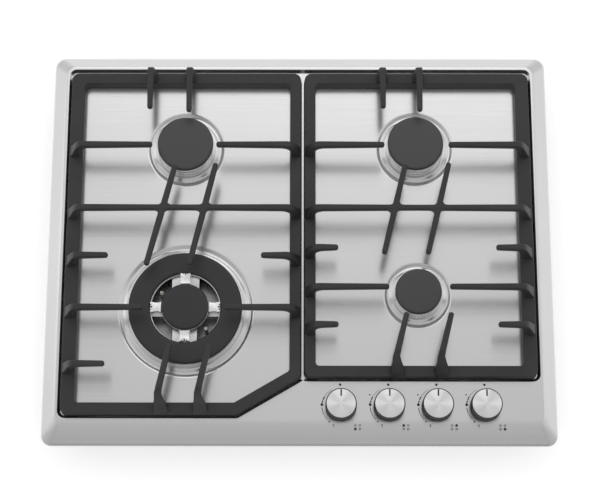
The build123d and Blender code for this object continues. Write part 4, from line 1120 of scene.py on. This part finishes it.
# %% Its hub, under the inner lid
add_slotted_wall(wok_form, WOK_X, WOK_Y, HUB_WALL, ARM_TOP - 1.5, HUB_TOP - 2.2, 48)
hub_head = [
    *near(HUB_WALL, HUB_TOP, (0, -2.2), (2.5, -1.8), (2.9, -1.2), (2.6, -0.5), (-0.6, -0.02)),
    (0.0, HUB_TOP - 0.02),
]
add_turned(wok_form, WOK_X, WOK_Y, hub_head, 96)
hub_foot = [
    (HUB_WALL, ARM_TOP - 1.5),
    *near(HUB_WALL, FLANGE_Z, (0, -0.5), (-1.0, -1.0)),
    (0.0, FLANGE_Z - 1.0),
]
add_turned(wok_form, WOK_X, WOK_Y, hub_foot, 96)


# %% Its arms
def turned_plan(points, angle):
    """Points given along and across an arm, placed on the wok burner at an angle."""
    c, s = cos(angle), sin(angle)
    return [(WOK_X + along * c - across * s, WOK_Y + along * s + across * c) for along, across in points]


def add_block(form, corners, low, top, edge):
    """An upright block whose top edges are softened."""
    shapes = [(0.0, low), (0.0, top - edge), (edge * 0.3, top - edge * 0.3), (edge, top)]
    add_solid(form, [at_height(inset_corners(corners, inset), z) for inset, z in shapes])


# along Y the arms are wide; along X they are narrow, and reach further to the front
ARM_SPREADS = {0.0: (9.5, 7.0), pi / 2: (16.0, 16.5), pi: (7.0, 9.5), 3 * pi / 2: (15.0, 14.0)}
for angle, (right, left) in ARM_SPREADS.items():
    arm = box_corners(HUB_WALL - 2.0, -right, WOK_INNER_WALL + 0.6, left)
    add_block(wok_form, turned_plan(arm, angle), ARM_LOW, ARM_TOP, 0.8)
wok_spreader = finish_piece(
    "wok_spreader_casting", wok_form, burner_metal, "wok_spreader", "burner_alloy", sharp_angle=35
)
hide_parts("wok_crown")

# %% The bright milled keys that hold the two lids apart
key_metal = grained("milled_alloy", CAST, (0.93, 0.93, 0.93), 0.36, 300.0, 0.03)
KEY_START, KEY_END, KEY_HALF = 28.2, 40.8, 5.3
key_side = [
    (KEY_START, -KEY_HALF - 0.9), (KEY_START + 1.6, -KEY_HALF - 0.9), (KEY_START + 1.6, -KEY_HALF),
    (KEY_END - 4.2, -KEY_HALF), (KEY_END - 4.2, -KEY_HALF - 0.6), (KEY_END, -KEY_HALF - 0.6),
    (KEY_END, -3.4), (KEY_END - 1.3, -3.4), (KEY_END - 1.3, -2.2), (KEY_END, -2.2), (KEY_END, -0.9),
    (KEY_END - 2.4, -0.9),
]
key_plan = key_side + [(along, -across) for along, across in key_side[::-1]]
key_form = bmesh.new()
for quarter in range(4):
    add_block(key_form, turned_plan(key_plan, quarter * pi / 2), ARM_TOP - 0.5, KEY_TOP, 0.25)
finish_piece("wok_spreader_keys", key_form, key_metal, "wok_spreader", "burner_alloy", sharp_angle=30, weld=0.0)

# %% Lids
# burner, radius, underside, enamel, body
LIDS = {
    "rear_left_cap": ("rear_left", 33.4, 72.5, lid_enamel, "rear_left_lid"),
    "rear_right_cap": ("rear_right", 33.4, 72.5, lid_enamel, "rear_right_lid"),
    "front_right_cap": ("front_right", 27.4, 70.0, lid_enamel, "front_right_lid"),
    "wok_inner_cap": ("wok", 27.5, 70.5, wok_lid_enamel, "wok_inner_lid"),
}
LID_THICKNESS = 4.5


def lid(name):
    """A flat lid with a rounded edge, very slightly crowned."""
    burner, radius, low, enamel, body = LIDS[name]
    top = low + LID_THICKNESS
    profile = [
        (0.0, low),
        *near(radius, low, (-1.2, 0), (-0.35, 0.25), (0, 0.9)),
        *near(radius, top, (0, -2.0), (-0.25, -1.15), (-0.9, -0.5), (-1.9, -0.16), (-3.4, -0.06)),
        (radius * 0.45, top), (0.0, top),
    ]
    finish = (enamel, body, "black_enamel")
    piece = turned_piece(f"{name}_enamelled", *BURNERS[burner], profile, 160, *finish, sharp_angle=60)
    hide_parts(name)
    weigh_normals(piece)


for name in LIDS:
    lid(name)

# %% The wok burner's ring lid
RING_OUTER, RING_INNER, RING_LOW, RING_TOP = 66.8, 41.5, 65.0, 69.5
ring_profile = [
    (RING_INNER + 1.0, RING_LOW),
    *near(RING_OUTER, RING_LOW, (-1.0, 0), (-0.3, 0.3), (0, 0.9)),
    *near(RING_OUTER, RING_TOP, (0, -1.8), (-0.3, -1.0), (-1.0, -0.4), (-2.2, -0.08), (-4.0, 0)),
    *near(RING_INNER, RING_TOP, (3.6, 0), (2.0, -0.1), (0.8, -0.5), (0.15, -1.2), (0, -2.0)),
    (RING_INNER, RING_LOW + 0.8),
]
ring_lid = turned_piece(
    "wok_ring_enamelled", WOK_X, WOK_Y, ring_profile, 192, wok_lid_enamel, "wok_ring_lid", "black_enamel",
    closed=True, sharp_angle=60,
)
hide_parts("wok_ring_cap")
weigh_normals(ring_lid)

# %% [markdown]
# ## Knobs
#
# Each knob is a black skirt with a spun aluminium disc let into its top. The disc's
# highlights fan out like a clock's hands, because its fine turning marks run in rings.
# Anisotropic reflection along a radial tangent gives exactly that. A thin moulded line
# marks the pointer, and a low rubber lip closes the hole in the panel.

# %% Knob finishes
spun_disc = plain_material("spun_aluminium", {"Metallic": 1.0, "Anisotropic": 0.93, "Anisotropic Rotation": 0.25})
turning = node(spun_disc, "ShaderNodeTangent", direction_type="RADIAL", axis="Z")
wire(spun_disc, turning.outputs[0], shader_of(spun_disc).inputs["Tangent"])
rings = noise(spun_disc, object_place(spun_disc), 600.0, 2.0)
vary(spun_disc, rings, "Base Color", (1.0,) * 3, 0.875, 0.89)
vary(spun_disc, rings, "Roughness", (1.0,) * 3, 0.355, 0.365)
pointer_ink = grained("pointer_ink", MOULDED, (0.03, 0.03, 0.032), 0.5, 900.0, 0.05)
print("finishes:", spun_disc.name, pointer_ink.name)

# %% Knobs
KNOB_RADIUS, KNOB_LOW, KNOB_TOP = 18.0, 62.0, 77.0
DISC_RADIUS = 16.85
POINTER_WIDTH, POINTER_LENGTH = 1.8, 7.8
STEM_RADIUS, STEM_LOW = 3.0, 30.5


def add_prism(form, corners, low, top):
    """A thin upright prism on a plan, for a printed or let-in mark."""
    add_solid(form, [at_height(corners, low), at_height(corners, top)])


def knob(name, x):
    """A skirt, a let-in disc, its pointer, the rubber lip in the panel and the stem."""
    low, top, body = KNOB_LOW, KNOB_TOP, f"{name}_knob"
    skirt = [
        (0.0, low + 0.6),
        *near(KNOB_RADIUS, low, (-2.2, 0.6), (-2.0, 0), (-0.3, 0), (0.2, 0.4), (0.2, 2.2), (-0.1, 2.7)),
        *near(KNOB_RADIUS, low, (-0.6, 3.2)),
        *near(KNOB_RADIUS, top, (-0.3, -3.4), (0, -3.0), (0, -1.6), (-0.2, -0.75), (-0.6, -0.3)),
        *near(DISC_RADIUS, top, (0.25, -0.25), (0.1, -0.5), (0.1, -1.4)),
        (0.0, top - 1.4),
    ]
    piece = turned_piece(f"{body}_skirt", x, KNOB_Y, skirt, 96, knob_plastic, body, "knob_black", sharp_angle=40)
    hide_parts(body)
    disc = [
        (0.0, top - 1.3),
        *near(DISC_RADIUS, top, (0, -1.3), (0, -0.35), (-0.2, -0.1), (-0.5, 0)),
        (0.0, top),
    ]
    turned_piece(f"{body}_disc", x, KNOB_Y, disc, 96, spun_disc, body, "burner_alloy", sharp_angle=30)
    half = POINTER_WIDTH / 2
    outer_end = KNOB_Y + DISC_RADIUS - 0.4
    form = bmesh.new()
    add_prism(form, box_corners(x - half, outer_end - POINTER_LENGTH, x + half, outer_end), top - 0.3, top + 0.02)
    finish_piece(f"{body}_pointer", form, pointer_ink, body, "knob_black", sharp_angle=30)
    seal = [
        *near(SPINDLE_HOLE, CREST_Z, (-0.6, -1.6), (-0.1, -1.6), (-0.1, 0.02), (2.2, 0.02), (2.2, 0.4)),
        *near(SPINDLE_HOLE, CREST_Z, (1.4, 0.8), (-1.6, 0.9), (-1.6, 0.5)),
    ]
    turned_piece(
        f"{name}_spindle_seal", x, KNOB_Y, seal, 64, black_rubber, "cooktop", "rubber", closed=True, sharp_angle=30
    )
    stem = [(0.0, STEM_LOW), (STEM_RADIUS, STEM_LOW), (STEM_RADIUS, low + 1.0), (0.0, low + 1.0)]
    turned_piece(f"{body}_stem", x, KNOB_Y, stem, 32, probe_metal, body, "gas_steel", sharp_angle=30)


for name, x in KNOB_XS.items():
    knob(name, x)

# %% [markdown]
# ## The printed marks
#
# A dial needs marks: a dot at off, a flame at full gas, an arc that thins out towards
# simmer, and a small plan of the four burners with this knob's own burner filled in.
# Ink has no thickness to speak of, so each mark is a prism a few hundredths of a
# millimetre proud of the steel, which keeps it a true mesh with no texture.

# %% Shapes for the marks
INK_LOW, INK_TOP = CREST_Z - 0.05, CREST_Z + 0.05
DIAL_RADIUS = 22.0


def arc_plan(x, y, radius, start, stop, start_width, stop_width, steps):
    """A band along an arc, as wide at each end as asked. Angles are in degrees."""
    outside, inside = [], []
    for step in range(steps + 1):
        share = step / steps
        angle = radians(start + (stop - start) * share)
        half = (start_width + (stop_width - start_width) * share) / 2
        outside.append((x + (radius + half) * cos(angle), y + (radius + half) * sin(angle)))
        inside.append((x + (radius - half) * cos(angle), y + (radius - half) * sin(angle)))
    return outside + inside[::-1]


def add_hoop(form, x, y, radius, width):
    """A thin ring of ink."""
    hoop = [(radius, INK_LOW), (radius, INK_TOP), (radius - width, INK_TOP), (radius - width, INK_LOW)]
    add_turned(form, x, y, hoop, 20, closed=True)


FLAME = [
    (0.0, -2.2), (1.2, -1.8), (1.7, -0.7), (1.3, 0.6), (0.5, 1.5),
    (0.3, 2.6), (-0.6, 1.5), (-1.5, 0.5), (-1.7, -0.7), (-1.2, -1.8),
]
HOOK = [(0.3, -1.8), (0.9, -1.8), (0.9, 1.8), (0.3, 1.8), (-0.9, 0.9), (-0.9, 0.2), (0.3, 1.0)]
# start and stop in degrees, width at each end, steps
ARCS = [
    (118.0, 150.0, 0.3, 0.5, 18), (150.0, 160.0, 1.3, 1.5, 6), (162.5, 168.0, 1.5, 1.6, 4),
    (184.0, 226.0, 0.9, 0.5, 18),
]
PLAN_SPOTS = {"rear_left": (-2.6, 2.1), "rear_right": (2.6, 2.1), "wok": (-2.6, -2.1), "front_right": (2.6, -2.1)}


def dial_marks(name, x):
    """Dots, arcs, flame, hook and plan, each placed from the middle of its knob."""
    y = KNOB_Y
    dots = [(x - 0.8, y + 25.4, 1.45), (x - 13.6, y - 18.0, 0.95)]
    if name != "wok":
        dots.append((x - 22.4, y + 13.6, 0.9))
    plans = [round_plan(*dot) for dot in dots] + [arc_plan(x, y, DIAL_RADIUS, *arc) for arc in ARCS]
    plans.append([(x - DIAL_RADIUS + dx, y + 2.2 + dy) for dx, dy in FLAME])
    plans.append([(x - 8.8 + dx, y - 23.0 + dy) for dx, dy in HOOK])
    form = bmesh.new()
    for burner, (dx, dy) in PLAN_SPOTS.items():
        spot = (x + 19.2 + dx, y - 24.6 + dy)
        if burner == name:
            plans.append(round_plan(*spot, 1.6))
        else:
            add_hoop(form, *spot, 1.35, 0.5)
    for plan in plans:
        add_prism(form, plan, INK_LOW, INK_TOP)
    finish_piece(f"{name}_dial_marks", form, pointer_ink, "cooktop", "black_enamel", sharp_angle=30, weld=0.0)


for name, x in KNOB_XS.items():
    dial_marks(name, x)
